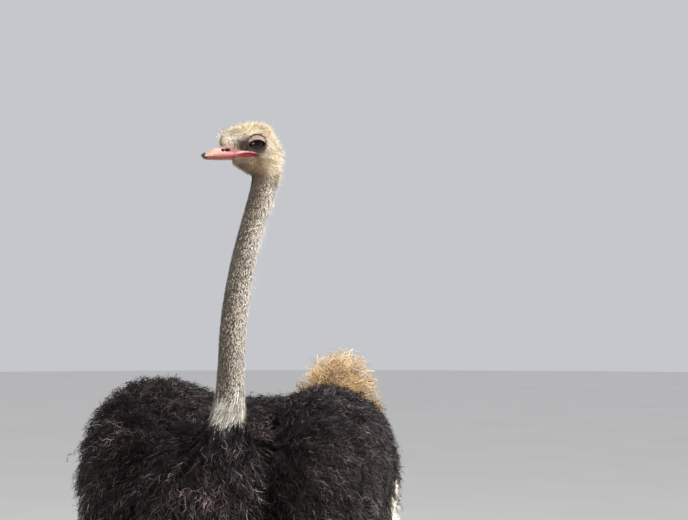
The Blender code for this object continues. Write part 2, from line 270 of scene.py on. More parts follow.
rings = []
rump_y = trunk_high[1] - 0.004
for share in np.linspace(0, 1, TRUNK_RINGS):
    y = back_corner[1] + (rump_y - back_corner[1]) * math.cos(share * math.pi / 2)
    centre = np.array([trunk_mid[0], y, trunk_mid[2]])
    rings.append(Ring(centre, -UP, LEFT, body_tree, BODY_REACH, low=0.08 * share))
for page in np.linspace(90, 0, NECK_FOOT_RINGS + 2)[1:-1]:
    a = math.radians(page)
    away = np.array([0, -math.cos(a), -math.sin(a)])
    turned = 1 - page / 90
    x = trunk_mid[0] + (neck_foot[0] + 0.018 - trunk_mid[0]) * turned
    start = back_corner * (0, 1, 1) + np.array([x, 0, 0]) + away * (0.33 - 0.21 * turned)
    rings.append(Ring(start, away, LEFT, body_tree, BODY_REACH, back_corner, 0.08 * (1 - turned)))
print("rings of the body:", len(rings))

# %% Rings of the neck, the throat and the face
head_turn = math.atan2(head_ahead[0], -head_ahead[1])
centre = neck_foot + np.array([0.018, -0.02, 0])
for z in np.arange(back_corner[2], throat_corner[2], 0.0036):
    centre = np.array([centre[0], centre[1], z])
    for _ in range(2):
        centre = centre + to_neck_middle(centre)
    turned = head_turn * ramp(z, back_corner[2] + 0.1, throat_corner[2] - 0.02)
    ventral = np.array([math.sin(turned), -math.cos(turned), 0])
    left = np.array([math.cos(turned), math.sin(turned), 0])
    rings.append(Ring(centre, ventral, left, head_tree, NECK_REACH))
for page in np.linspace(0, 90, THROAT_RINGS + 1)[1:]:
    a = math.radians(page)
    outward = -head_ahead * math.cos(a) + UP * math.sin(a)
    start = throat_corner + outward * 0.07
    rings.append(Ring(start, -outward, head_left, head_tree, THROAT_REACH, throat_corner))
for ahead in np.linspace(0.0495, head_front, FACE_RINGS + 1)[1:]:
    rings.append(Ring(from_head(ahead, 0.0, -0.001), -UP, head_left, head_tree, NECK_REACH))
print("rings in all:", len(rings))

# %% [markdown]
# ## The skin's outer shape and its inset
# Casting every ring gives a grid of distances, one row for each ring. The solids are faceted, so the grid is
# blurred a little. The skin then sinks inside the plumage by the coat's depth: a few millimetres under the
# bristles of the neck, and nearly three centimetres under the loose plumes of the body. Where a wing meets
# the trunk it sinks deeper, so that a furrow parts the two, dark from its depth and from painted shade on the
# plumes in it. Behind the crown it sinks a little too, because the coat lies flat there. The last rings
# shrink and round off, which closes the forehead behind the bill. Shrinking the mesh along its normals would
# be the usual way; they cross where the neck meets the back, so each point moves along its own ring's line
# instead.

# %% Cast the grid
COLUMNS = 176
turns = np.arange(COLUMNS) * 2 * math.pi / COLUMNS  # 0 is the underside, a quarter turn is the left side
ring_centre = np.array([r.centre for r in rings])
ring_ventral = np.array([r.ventral for r in rings])
ring_left = np.array([r.left for r in rings])
ways = (np.cos(turns)[None, :, None] * ring_ventral[:, None]
        + np.sin(turns)[None, :, None] * ring_left[:, None])
radii = np.array([[ring.reach(way) for way in row] for ring, row in zip(rings, ways)])
missed = np.isnan(radii)
print("rays that met nothing:", int(missed.sum()))
for row, gone in zip(radii, missed):
    if gone.any():
        row[gone] = np.interp(np.flatnonzero(gone), np.flatnonzero(~gone), row[~gone], period=COLUMNS)
outer = blurred(ring_centre[:, None] + ways * radii[..., None], 2.6, 2.6)
print("outer grid", outer.shape, "top", round(outer[..., 2].max(), 3))

# %% How deep the coat is
COLLAR_EDGE = back_corner[2] - 0.080
first_neck_ring = TRUNK_RINGS + NECK_FOOT_RINGS
print("lower edge of the white collar", round(COLLAR_EDGE, 3), "m up")
row_number = np.arange(len(rings))[:, None]


def collar_height(points):
    """Metres above the lower edge of the white collar."""
    return points[..., 2] - COLLAR_EDGE


def near_neck(points):
    """1 close to the line that the neck stands on, 0 out on the shoulders."""
    gap = np.linalg.norm((points - neck_foot - np.array([0.012, -0.015, 0]))[..., :2], axis=-1)
    return np.where(points[..., 2] > back_corner[2] + 0.06, 1.0, ramp(gap, 0.175, 0.115))


# 0 on the body, 1 on the neck and head
up_neck = near_neck(outer) * ramp(collar_height(outer), -0.075, 0.035) * (row_number > first_neck_ring - 45)
dorsal = np.broadcast_to(ramp(-np.cos(turns), -0.1, 0.85), outer.shape[:2])
ahead, _, upward = np.moveaxis(head_frame(outer), -1, 0)
on_head = ramp(outer[..., 2], throat_corner[2] - 0.025, throat_corner[2] + 0.03) * (up_neck > 0.5)
crown = ramp(upward, 0.012, 0.046) * ramp(ahead, 0.080, 0.064)
rear = ramp(ahead, 0.0, -0.045)
BODY_COAT, NECK_COAT, NAPE_COAT, FACE_COAT, CROWN_COAT = 0.028, 0.0040, 0.0030, 0.0030, 0.0060
neck_depth = NECK_COAT + NAPE_COAT * dorsal
slope_back = ramp(ahead, -0.024, -0.050) * ramp(upward, -0.012, 0.014)
head_depth = FACE_COAT + CROWN_COAT * np.maximum(crown, 0.75 * rear) + 0.010 * slope_back
upper_depth = neck_depth * (1 - on_head) + head_depth * on_head
depth = blurred(BODY_COAT * (1 - up_neck) + up_neck * upper_depth, 1.5, 1.5)
depth = np.minimum(depth, 0.45 * np.linalg.norm(outer - ring_centre[:, None], axis=-1))
print("coat depth from", round(depth.min(), 4), "to", round(depth.max(), 4))

# %% Furrows beside the wings, and the end at the bill
FURROW_DEPTH, FURROW_WIDTH, FARTHEST_LOOK = 0.040, 0.030, 0.1
wing_tree, trunk_tree = tree_of("wing_l", "wing_r"), tree_of("trunk")
furrow = np.zeros(outer.shape[:2])
for i in range(first_neck_ring + 16):
    for j in range(COLUMNS):
        found = [tree.find_nearest(Vector(outer[i, j]), FARTHEST_LOOK)[3] for tree in (wing_tree, trunk_tree)]
        furrow[i, j] = bump(max(gap or FARTHEST_LOOK for gap in found), 0.0, FURROW_WIDTH)
furrow = np.clip(1.5 * blurred(furrow[..., None], 1.5, 1.5)[..., 0], 0, 1)  # 1 where a wing meets the trunk
furrow = furrow * (1 - up_neck)
skin_grid = outer - ways * (depth + FURROW_DEPTH * furrow)[..., None]
print("furrow covers", round(float((furrow > 0.5).mean()), 3))
front_share = np.clip((head_frame(ring_centre)[:, 0] - head_front + 0.0130) / 0.0131, 0, 0.998)
front_share = np.where(np.arange(len(rings)) >= len(rings) - FACE_RINGS, front_share, 0)
rounding = ((1 - front_share**2.6) ** (1 / 2.6))[:, None, None]
closing = (ring_centre - UP * 0.012)[:, None]
skin_grid = closing + (skin_grid - closing) * rounding

# %% [markdown]
# ## Building meshes fast
# Feathers mean many small faces, and Blender fills a mesh fastest from whole arrays. One function takes
# points and triangles (or quads), an optional unwrap and an optional colour for each point, and returns a
# smooth-shaded object. Everything in this lesson, skin and plumes alike, goes through it. Blender's call
# for plain lists is simpler and far slower, so it is kept for a few small pieces.


# %% From arrays to an object
def paint(mesh, tint):
    """Stores a colour for each point, under the name that the materials read."""
    layer = mesh.color_attributes.new(name="tint", type="FLOAT_COLOR", domain="POINT")
    tint = np.concatenate([tint, np.ones((len(tint), 1))], axis=1).astype(np.float32)
    layer.data.foreach_set("color", tint.ravel())


def new_piece(name, points, faces, unwrap=None, tint=None, material=None):
    """An object from (n, 3) points and (m, 3 or 4) faces; unwrap and tint are given for each point."""
    mesh = bpy.data.meshes.new(name)
    points, faces = np.asarray(points, np.float32), np.asarray(faces, np.int32)
    mesh.vertices.add(len(points))
    mesh.vertices.foreach_set("co", points.ravel())
    mesh.loops.add(faces.size)
    mesh.loops.foreach_set("vertex_index", faces.ravel())
    mesh.polygons.add(len(faces))
    mesh.polygons.foreach_set("loop_start", np.arange(len(faces), dtype=np.int32) * faces.shape[1])
    mesh.update(calc_edges=True)
    if unwrap is not None:
        layer = mesh.uv_layers.new(name="OFBake")
        layer.uv.foreach_set("vector", np.asarray(unwrap, np.float32)[faces.ravel()].ravel())
    if tint is not None:
        paint(mesh, tint)
    mesh.shade_smooth()
    piece = bpy.data.objects.new(name, mesh)
    bpy.context.scene.collection.objects.link(piece)
    if material is not None:
        mesh.materials.append(material)
    return piece


# %% Points of a piece, read and written
def points_of(piece):
    co = np.empty(len(piece.data.vertices) * 3, np.float32)
    piece.data.vertices.foreach_get("co", co)
    return co.reshape(-1, 3).astype(float)


def set_points(piece, points):
    piece.data.vertices.foreach_set("co", np.asarray(points, np.float32).ravel())
    piece.data.update()


# %% Closed tubes
def tube_faces(rows, columns, first=0):
    """Quads of a grid whose columns wrap round."""
    index = first + np.arange(rows * columns).reshape(rows, columns)
    low, high = index[:-1], index[1:]
    quads = np.stack([low, high, np.roll(high, -1, 1), np.roll(low, -1, 1)], axis=-1)
    return quads.reshape(-1, 4)


def capped(points, grid_shape, first_tip, last_tip):
    """Points and triangles of a closed tube: the grid, and a point at each end."""
    rows, columns = grid_shape
    points = np.concatenate([points.reshape(-1, 3), [first_tip, last_tip]])
    quads = tube_faces(rows, columns)
    triangles = np.concatenate([quads[:, [0, 1, 2]], quads[:, [0, 2, 3]]])
    around = np.arange(columns)
    after = np.roll(around, -1)
    first = np.stack([around, after, np.full(columns, rows * columns)], axis=-1)
    last = (rows - 1) * columns
    end = np.stack([last + after, last + around, np.full(columns, rows * columns + 1)], axis=-1)
    return points, np.concatenate([triangles, first, end])


# %% The skin's own tube
rump_tip = skin_grid[0].mean(axis=0)
bill_tip_end = skin_grid[-1].mean(axis=0)
tube_points, tube_triangles = capped(skin_grid, skin_grid.shape[:2], rump_tip, bill_tip_end)
skin = new_piece("skin", tube_points, tube_triangles)
print("skin tube:", len(tube_points), "points")

# %% [markdown]
# ## Legs under the skin
# Thigh, shank and toes are one sleeve of skin. The solids of each leg are copied, joined by a voxel remesh,
# which melts the thin gaps between them, and softened. The top is drawn up into the body so that the sleeve
# meets the trunk's skin, which lies deeper than the solids there. A Boolean union then makes one skin of
# all. Rings would do for the shank, but not where the toes part, which is why the legs are made in another
# way than the body.


# %% Leg sleeves
def remeshed(name, nodes, voxel, soften):
    """One closed mesh round copies of these solids."""
    corners, faces = surfaces_of(nodes)
    mesh = bpy.data.meshes.new(name)
    mesh.from_pydata(corners, [], faces)
    piece = bpy.data.objects.new(name, mesh)
    bpy.context.scene.collection.objects.link(piece)
    melt = piece.modifiers.new("melt", "REMESH")
    melt.mode, melt.voxel_size, melt.use_smooth_shade = "VOXEL", voxel, True
    smooth = piece.modifiers.new("soften", "SMOOTH")
    smooth.factor, smooth.iterations = 0.5, soften
    apply_modifiers(piece)
    return piece


def apply_modifiers(piece):
    """Replaces the piece's mesh by what its modifiers make of it."""
    bpy.context.view_layer.update()
    graph = bpy.context.evaluated_depsgraph_get()
    made = piece.evaluated_get(graph)
    done = bpy.data.meshes.new_from_object(made, preserve_all_data_layers=True, depsgraph=graph)
    piece.modifiers.clear()
    piece.data = done


# %% Both legs joined to the skin
LEG_PARTS = ("drumstick", "tarsus", "toe_main", "toe_outer")
for side in "lr":
    sleeve = remeshed(f"sleeve_{side}", [f"{part}_{side}" for part in LEG_PARTS], 0.0038, 14)
    p = points_of(sleeve)
    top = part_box(f"drumstick_{side}")[1].z
    p[:, 2] += 0.10 * ramp(p[:, 2], top - 0.16, top - 0.02)
    set_points(sleeve, p)
    union = skin.modifiers.new(f"leg_{side}", "BOOLEAN")
    union.operation, union.solver, union.object = "UNION", "MANIFOLD", sleeve
    apply_modifiers(skin)
    bpy.data.objects.remove(sleeve)
    print("skin with leg", side, len(skin.data.vertices))

# %% [markdown]
# ## The face
# A head is made by pushing the skin in and out in its own directions: forward, sideways and up. There is a
# ridge over the eye, a hollow in front of it, a swelling cheek, a groove for the mouth and a small ear
# hollow. Lids need finer mesh than the rest, so the faces round each eye are divided first. The lids are a
# thin dome over the eyeball; inside the slanting opening the skin dives behind the ball, which leaves a rim
# with real thickness. The lines of mouth, bare skin, lids and nostril are functions, because the bill and
# the colours use them too. One could sculpt all this by hand. Formulas are chosen because they fold both
# sides alike and can be run again.

# %% Lines of the mouth, the bare skin and the nostril
def mouth_height(a):
    """Height of the gape from its corner under the eye to the bill's tip."""
    return np.interp(a, [-0.006, 0.006, 0.018, 0.030, 0.044, 0.057, 0.118, 0.130],
                     [-0.0268, -0.0240, -0.0214, -0.0222, -0.0250, -0.0267, -0.0265, -0.0255])


def bare_above(a):
    """Upper edge of the bare pink skin, from the corner of the mouth to the top of the bill."""
    return np.interp(a, [-0.006, 0.000, 0.006, 0.020, 0.034, 0.048, 0.062, 0.085],
                     [-0.0250, -0.0225, -0.0183, -0.0157, -0.0143, -0.0112, -0.0066, -0.0014])


def bare_below(a):
    """Lower edge of the bare skin under the gape."""
    return np.interp(a, [-0.006, 0.006, 0.020, 0.040, 0.060, 0.080],
                     [-0.0276, -0.0296, -0.0304, -0.0302, -0.0340, -0.0400])


def nostril(a, u):
    """1 inside the two-lobed slit of the nostril."""
    return np.clip(bump(a, 0.0680, 0.0054) + 0.9 * bump(a, 0.0787, 0.0036), 0, 1) * bump(u, -0.0122, 0.0033)


# %% Lines of the lids
LID_TILT, LID_HALF, UPPER_LID, LOWER_LID = math.radians(6), 0.0197, 0.0104, 0.0100
LID_DROP = 0.0006  # how far the opening's middle lies below the eye's middle
LID_DOME = 0.0236  # radius of the ball that the lids lie on


def lid_arch(x):
    """Share of a lid's height left at `x` from the opening's middle."""
    return np.clip(1 - (np.abs(x) / LID_HALF) ** 2.4, 0, None)


def eye_opening(a, u):
    """Below 0 inside the opening of the lids, as a distance in metres. Its rear end is higher."""
    x = a * math.cos(LID_TILT) - u * math.sin(LID_TILT)
    y = a * math.sin(LID_TILT) + u * math.cos(LID_TILT) + LID_DROP
    over = y - UPPER_LID * lid_arch(x)
    under = -LOWER_LID * lid_arch(x) - y
    return np.where(np.abs(x) < LID_HALF, np.maximum(over, under), np.hypot(np.abs(x) - LID_HALF, y))


def lid_crease(a, u):
    """1 in the fold above the upper lid."""
    ring = np.hypot(a + 0.0005, u + 0.0005)
    return bump(ring, 0.0226, 0.0015) * ramp(u, 0.000, 0.009)


# %% Folds of the face
def sculpt_face(points):
    """The skin's points with the folds of the face pressed in."""
    a, l, u = np.moveaxis(head_frame(points), -1, 0)
    side, wide = np.sign(l), np.abs(l)
    above_throat = ramp(points[:, 2], throat_corner[2] - 0.02, throat_corner[2] + 0.02)
    outside = ramp(wide, 0.012, 0.024) * above_throat
    move = 0.0018 * bump(u, 0.0272 - 0.20 * np.maximum(a, 0), 0.0045) * bump(a, 0.004, 0.028)  # brow ridge
    move -= 0.0028 * bump(a, 0.042, 0.014) * bump(u, 0.003, 0.010)  # hollow in front of the eye
    move += 0.0020 * bump(a, -0.004, 0.022) * bump(u, -0.037, 0.009)  # cheek
    gape = u - mouth_height(a)
    along = ramp(a, -0.006, 0.006)
    move -= 0.0021 * bump(gape, 0.0, 0.0011) * along  # groove of the mouth, then the lips beside it
    move += 0.0012 * bump(gape, 0.0040, 0.0028) * along + 0.0008 * bump(gape, -0.0026, 0.0016) * along
    move -= 0.0006 * bump(gape, 0.0078, 0.0010) * along * ramp(a, 0.06, 0.05)
    move -= 0.0035 * bump(np.hypot(a + 0.043, u + 0.010), 0.0, 0.0042)  # ear
    move += 0.0005 * waves(points, 0.012, 41) * bump(u, -0.012, 0.02)
    wide = wide + move * outside
    reach = np.hypot(a, u)
    dome = eye_out + np.sqrt(np.maximum(LID_DOME**2 - reach**2, 0))
    gap = eye_opening(a, u)
    near = ramp(reach, 0.037, 0.026)
    blend_width = 0.0012 + 0.0058 * ramp(reach, 0.012, 0.0235)
    level = np.clip((dome - wide) / blend_width, -20, 20)
    lidded = wide + blend_width * np.log1p(np.exp(level))
    lidded += 0.0005 * bump(gap, 0.0012, 0.0009) - 0.0013 * lid_crease(a, u)
    folds = np.sin(reach * 3300 + 2.6 * waves(points, 0.018, 43)) * (0.55 + 0.45 * waves(points, 0.010, 44))
    lidded += 0.00024 * folds * ramp(gap, 0.002, 0.004) * ramp(reach, 0.028, 0.022)
    sunk = np.minimum(lidded, eye_out + 0.006)
    lidded = lidded + (sunk - lidded) * ramp(gap, 0.0002, -0.0011)
    wide = np.where(outside > 0.99, wide + (lidded - wide) * near, wide)
    return points + (wide - np.abs(l))[:, None] * side[:, None] * head_left


# %% Divide the skin round the eyes and fold it
work = bmesh.new()
work.from_mesh(skin.data)
for cuts, radius in ((1, 0.040), (2, 0.0275)):
    edges = set()
    for face in work.faces:
        a, l, u = head_frame(face.calc_center_median())
        if abs(l) > 0.016 and math.hypot(a, u) < radius:
            edges.update(face.edges)
    bmesh.ops.subdivide_edges(work, edges=list(edges), cuts=cuts, use_grid_fill=True)
bmesh.ops.triangulate(work, faces=[f for f in work.faces if len(f.verts) > 4])
work.to_mesh(skin.data)
work.free()
set_points(skin, sculpt_face(points_of(skin)))
print("skin with lids:", len(skin.data.vertices), "points")

# %% [markdown]
# ## Where each feather grows
# The skin's grid is also a map of the bird: the row says how far from rump to bill, the column how far
# round. From neighbouring grid points come the outward normal and the lie of the coat, which runs from the
# bill back to the tail and sags a little under its own weight. Roots are spread over the grid by area, so
# that the count per square metre is what we ask for wherever the grid is dense or loose. The same row and
# column give every root its place on the unwrap. Blender's own hair could be scattered on the skin instead,
# but with our own map the place and the lie of each feather are plain numbers that we can steer.

# %% A map of the skin
def across(field):
    return np.roll(field, -1, 1) - np.roll(field, 1, 1)


smooth_grid = blurred(skin_grid, 2, 2)
toward_bill = unit(np.gradient(smooth_grid, axis=0))
grid_normal = unit(np.cross(across(smooth_grid), toward_bill))
if (grid_normal * ways).sum() < 0:
    grid_normal = -grid_normal
sag = (1 - up_neck[..., None]) * 0.9 + 0.15
lie = -toward_bill - UP * sag
lie = unit(lie - (lie * grid_normal).sum(-1, keepdims=True) * grid_normal)
row_step = np.linalg.norm(np.diff(skin_grid, axis=0), axis=-1)
column_step = np.linalg.norm(np.roll(skin_grid, -1, 1) - skin_grid, axis=-1)[:-1]
cell_area = row_step * column_step
row_share = np.concatenate([[0], np.cumsum(row_step.mean(axis=1))])
row_share /= row_share[-1]
print("skin map area", round(cell_area.sum(), 3), "m2")


# %% Values between grid points, and feather roots
def at(field, row, column):
    """The grid's value between its points; columns wrap."""
    r, c = np.floor(row).astype(int), np.floor(column).astype(int)
    r = np.clip(r, 0, len(field) - 2)
    u, v = row - r, column - c
    c, d = c % COLUMNS, (c + 1) % COLUMNS
    if field.ndim == 3:
        u, v = u[:, None], v[:, None]
    before = (1 - v) * field[r, c] + v * field[r, d]
    after = (1 - v) * field[r + 1, c] + v * field[r + 1, d]
    return (1 - u) * before + u * after


class Roots:
    """Feather roots on the skin: place, normal, lie and place on the unwrap."""

    def __init__(self, per_m2, seed):
        rng = np.random.default_rng(seed)
        per_m2 = np.broadcast_to(per_m2, skin_grid.shape[:2])[:-1]
        sums = np.cumsum((cell_area * per_m2).ravel())
        marks = np.arange(int(sums[-1])) + rng.uniform(size=int(sums[-1]))
        cell = np.clip(np.searchsorted(sums, marks), 0, cell_area.size - 1)
        self.row = cell // COLUMNS + rng.uniform(size=len(cell))
        self.column = cell % COLUMNS + rng.uniform(size=len(cell))
        self.rng = rng
        self.place = at(skin_grid, self.row, self.column)
        self.normal = unit(at(grid_normal, self.row, self.column))
        self.lie = unit(at(lie, self.row, self.column))
        share = np.interp(self.row, np.arange(len(row_share)), row_share)
        self.unwrap = np.stack([self.column / COLUMNS, share], axis=-1) * 0.99 + 0.005

    def __len__(self):
        return len(self.row)

    def uniform(self, low, high):
        return self.rng.uniform(low, high, len(self))

    def value(self, field):
        return at(field, self.row, self.column)


# %% [markdown]
# ## Barbs and plumes
# An ostrich feather has no hooks to zip its barbs together, so it stays a soft fringe. The smallest thing
# we make is therefore a single barb: a thin tapering ribbon of two to four steps that can bend. A plume is
# a shaft with barbs down both sides, each of them again a ribbon. Both functions work on thousands of
# feathers at once with array arithmetic, which is far quicker than copying objects. A flat card with a
# picture of a feather would be lighter, but its edge looks cut off when one comes close.


# %% Ribbons and fringed shafts
TUFT_PATCH = 0.003  # side of the patch that a ribbon gets on the unwrap, at its root's place


def nearest_unwrap(points):
    """Where on the skin's unwrap these points belong."""
    picks = []
    step = 3
    flat = skin_grid[::step, ::step]
    for p in points:
        i, j = np.unravel_index(np.argmin(((flat - p) ** 2).sum(-1)), flat.shape[:2])
        picks.append([j * step / COLUMNS, row_share[i * step]])
    return np.array(picks) * 0.99 + 0.005


def ribbons(root, way, flat, length, width, bend, unwrap, tint, tip_tint, steps=2, wave=0.0, phase=0.0):
    """Tapering ribbons: way is the start, bend adds to it by the square of the run, flat faces out."""
    count = len(root)
    run = np.linspace(0, 1, steps + 1)[None, :, None]
    numbers = (length, width, wave, phase)
    length, width, wave, phase = (np.broadcast_to(v, count)[:, None, None] for v in numbers)
    side = unit(np.cross(way, flat))
    swing = np.sin(run * 7.0 + phase) * run * wave
    spine = root[:, None] + length * (way[:, None] * run + bend[:, None] * run**2 + side[:, None] * swing)
    edge = side[:, None] * width * 0.5 * (1 - 0.55 * run**2)
    left, right = spine[:, :-1] + edge[:, :-1], spine[:, :-1] - edge[:, :-1]
    points = np.concatenate([np.stack([left, right], 2).reshape(count, -1, 3), spine[:, -1:]], axis=1)
    each = points.shape[1]
    faces = []
    for k in range(steps - 1):
        a = 2 * k
        faces += [[a, a + 1, a + 3], [a, a + 3, a + 2]]
    faces.append([each - 3, each - 2, each - 1])
    faces = (np.arange(count)[:, None, None] * each + np.array(faces)[None]).reshape(-1, 3)
    along = np.concatenate([np.repeat(np.linspace(0, 1, steps + 1)[:-1], 2), [1.0]])
    edgeways = np.concatenate([np.tile([0.0, 1.0], steps), [0.5]])
    patch = np.stack([edgeways - 0.5, along - 0.5], axis=-1) * TUFT_PATCH
    unwrap = unwrap[:, None] + patch[None]
    mix = along[None, :, None] ** 1.5
    tints = tint[:, None] * (1 - mix) + tip_tint[:, None] * mix
    return points.reshape(-1, 3), faces, unwrap.reshape(-1, 2), tints.reshape(-1, 3)


def joined(parts):
    """Several ribbon sets as one."""
    first, faces = 0, []
    for part in parts:
        faces.append(part[1] + first)
        first += len(part[0])
    return (np.concatenate([p[0] for p in parts]), np.concatenate(faces),
            np.concatenate([p[2] for p in parts]), np.concatenate([p[3] for p in parts]))


# %% Plumes with barbs on both sides
def fringed(root, way, flat, length, bend, unwrap, tint, shaft_tint, rng, barbs=14, barb=0.4, width=0.0014,
            droop=0.25, steps=3, open_angle=0.9, shaft=0.0013, wave=0.12, glint=0.0):
    """Soft plumes: a shaft with barbs on both sides. `barb` is barb length over shaft length.
    `glint` is a painted highlight, added to the colour of a few barbs."""
    count = len(root)
    length = np.broadcast_to(length, count)
    side = unit(np.cross(way, flat))
    shafts = ribbons(root, way, flat, length, shaft, bend, unwrap, shaft_tint, shaft_tint, 3)
    s = (np.arange(barbs) + rng.uniform(0.1, 0.9, (count, barbs))) / barbs
    s = 0.06 + 0.94 * s
    run = s[..., None]
    hand = np.where(np.arange(barbs) % 2 == 0, 1.0, -1.0)[None, :, None]
    start = root[:, None] + length[:, None, None] * (way[:, None] * run + bend[:, None] * run**2)
    tangent = unit(way[:, None] + 2 * bend[:, None] * run)
    angle = open_angle * rng.uniform(0.6, 1.25, (count, barbs))[..., None] * (1.15 - 0.65 * run)
    lift = rng.normal(0, 0.22, (count, barbs))[..., None]
    barb_way = tangent * np.cos(angle) + hand * side[:, None] * np.sin(angle) + flat[:, None] * lift
    onward = rng.uniform(-0.1, 0.5, (count, barbs))[..., None]
    inward = rng.uniform(-1, 1, (count, barbs))[..., None]
    curl = tangent * onward - UP * droop - flat[:, None] * 0.25 * inward
    longest_midway = 0.55 + 0.75 * np.sin(np.pi * (0.15 + 0.75 * s))
    barb_length = length[:, None] * barb * longest_midway * rng.uniform(0.7, 1.2, (count, barbs))
    shade = rng.uniform(0.6, 1.5, (count, barbs))[..., None]
    barb_tint = (tint[:, None] * shade + glint * rng.uniform(0, 1, (count, barbs, 1)) ** 9).reshape(-1, 3)
    flats = unit(flat[:, None] + rng.normal(0, 0.45, (count, barbs, 3))).reshape(-1, 3)
    hairs = ribbons(start.reshape(-1, 3), unit(barb_way).reshape(-1, 3), flats, barb_length.ravel(), width,
                    curl.reshape(-1, 3) * 0.6, np.repeat(unwrap, barbs, 0), barb_tint, barb_tint * 1.5,
                    steps, wave, rng.uniform(0, A_TURN, count * barbs))
    return joined([shafts, hairs])


# %% From ribbons to pieces
def held_in_box(points, over=0.010):
    """Tips that would pass the sides of the solids' box by more than `over` are eased back."""
    points = points.copy()
    for axis in (0, 1):
        low, high = solid_box[0][axis] - over, solid_box[1][axis] + over
        x = np.clip(points[:, axis], low - 0.05, high + 0.05)
        x = np.where(x > high - over, high - over * np.exp((high - over - x) / over), x)
        points[:, axis] = np.where(x < low + over, low + over * np.exp((x - low - over) / over), x)
    return points


def coat_pieces(name, ribbon_sets, material, most=190_000):
    """Makes the coat in pieces that each stay under the limit of triangles."""
    points, faces, unwrap, tint = joined(ribbon_sets)
    points = held_in_box(points)
    shares = max(1, math.ceil(len(faces) / most))
    made = []
    for k in range(shares):
        own = faces[len(faces) * k // shares : len(faces) * (k + 1) // shares]
        used, index = np.unique(own, return_inverse=True)
        label = name if shares == 1 else f"{name}_{k + 1}"
        piece = new_piece(label, points[used], index.reshape(-1, 3), unwrap[used], tint[used], material)
        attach(piece, "root")
        made.append(piece)
    print(name, "pieces", shares, "triangles", len(faces))
    return made


# %% [markdown]
# ## Markings
# One set of rules colours the skin and all that grows on it: dusky head with a cream crown, a
# pepper-and-salt neck that ends in a white collar, and black body plumage with a purple-brown cast. Colours
# are linear values. Each rule is a place on the bird and a soft edge, and a little unevenness keeps the
# edges from looking painted. A painted image could do the same. Rules need none, and skin and bristles
# can't disagree.

# %% Colour rules
BLACK = np.array([0.0026, 0.0020, 0.0023])
BLACK_TIP = np.array([0.080, 0.058, 0.058])
BLACK_SHAFT = np.array([0.085, 0.066, 0.064])
# GLINT is a painted highlight that a few barbs get.
GLINT = np.array([0.150, 0.122, 0.120])
CREAM = np.array([0.62, 0.55, 0.43])
WHITE = np.array([0.80, 0.77, 0.70])
TAN = np.array([0.50, 0.38, 0.22])
DARK_HAIR = np.array([0.034, 0.026, 0.021])
NECK_SKIN = np.array([0.066, 0.048, 0.039])
LEG_SKIN = np.array([0.42, 0.25, 0.21])
FACE_SKIN = np.array([0.13, 0.085, 0.065])


def blend(base, colour, weight):
    """One colour for each weight: the base at 0, the colour at 1."""
    base = np.asarray(base)
    return base + (np.asarray(colour) - base) * np.asarray(weight)[..., None]


def ragged_collar(points):
    """Height above the collar's lower edge, which is ragged."""
    return collar_height(points) + 0.008 * waves(points, 0.03, 3)


def neck_part(points):
    """1 on neck and head, 0 on the body."""
    return ramp(ragged_collar(points), -0.012, 0.012) * near_neck(points)


# %% Colour of the head's coat
def head_colour(points):
    """The coat of the head: cream crown, dusky brow and lores, brown throat. Painted light whitens the front
    of the forehead, and painted shade darkens the throat and the band below it, under the head.
    """
    a, _, u = np.moveaxis(head_frame(points), -1, 0)
    colour = blend([0.69, 0.615, 0.490], TAN * 1.3, 0.4 * bump(a, -0.03, 0.026) * bump(u, 0.030, 0.018))
    # The throat is brown, and darker under the chin partly as painted shade; the darker band below it is
    # painted shade under the head.
    throat = ramp(u, -0.021, -0.033) * ramp(a, -0.038, -0.010)
    colour = blend(colour, [0.230, 0.145, 0.068], 0.94 * throat)
    colour = blend(colour, [0.085, 0.056, 0.031], 0.9 * ramp(u, -0.050, -0.068) * ramp(a, -0.034, -0.004))
    cheek = bump(u, -0.034 - 0.10 * a, 0.0035) * bump(a, 0.030, 0.024)
    colour = blend(colour, CREAM, 0.25 * cheek)
    colour = blend(colour, [0.95, 0.86, 0.68], ramp(u, 0.008, 0.022) * ramp(a, -0.012, 0.020))
    # Painted light: the front of the forehead is made whiter, as if lit from the front.
    colour = blend(colour, [1.0, 0.91, 0.75], 0.9 * ramp(a, 0.034, 0.054) * ramp(u, 0.000, 0.009))
    colour = blend(colour, [1.0, 0.70, 0.55], 0.8 * bump(a, 0.070, 0.016) * ramp(u, 0.006, -0.004))
    lores = bump(a, 0.030, 0.0215) * bump(u, -0.001, 0.0145)
    under_eye = bump(a, 0.010, 0.028) * bump(u, -0.0135, 0.0065)
    dusk = blend([0.038, 0.018, 0.011], [0.115, 0.050, 0.026], ramp(a, 0.026, 0.042))
    colour = blend(colour, dusk, np.clip(1.3 * lores + 1.3 * under_eye, 0, 1))
    brow = bump(np.hypot(a - 0.022, u - 0.012), 0.0, 0.009)
    colour = blend(colour, [0.085, 0.050, 0.032], 0.8 * brow)
    corner = bump(np.hypot(a + 0.003, u + 0.030), 0.0, 0.012)
    colour = blend(colour, [0.105, 0.072, 0.042], 0.85 * corner)
    low_rear = (u < 0) & (a < 0.006)
    round_eye = np.hypot(a * np.where(a < 0, 1.12, 1.0), u * np.where(low_rear, 1.22, 1.0))
    return blend(colour, [0.055, 0.036, 0.027], 0.9 * ramp(round_eye, 0.0258, 0.0235))


# %% [markdown]
# ## Feather materials
# All feathers share one recipe and differ in a few numbers: the tint painted on the mesh, broken by fine
# streaks and slow clouds, and a low bump. Pale feathers add a soft sheen. Black plumage needs care, because
# a sheen or a strong reflection would lay a grey veil over all of it. It has next to none. Its shine is
# painted instead: a few barbs get a paler tint, and these are the glints that show its combed fringes in
# daylight.

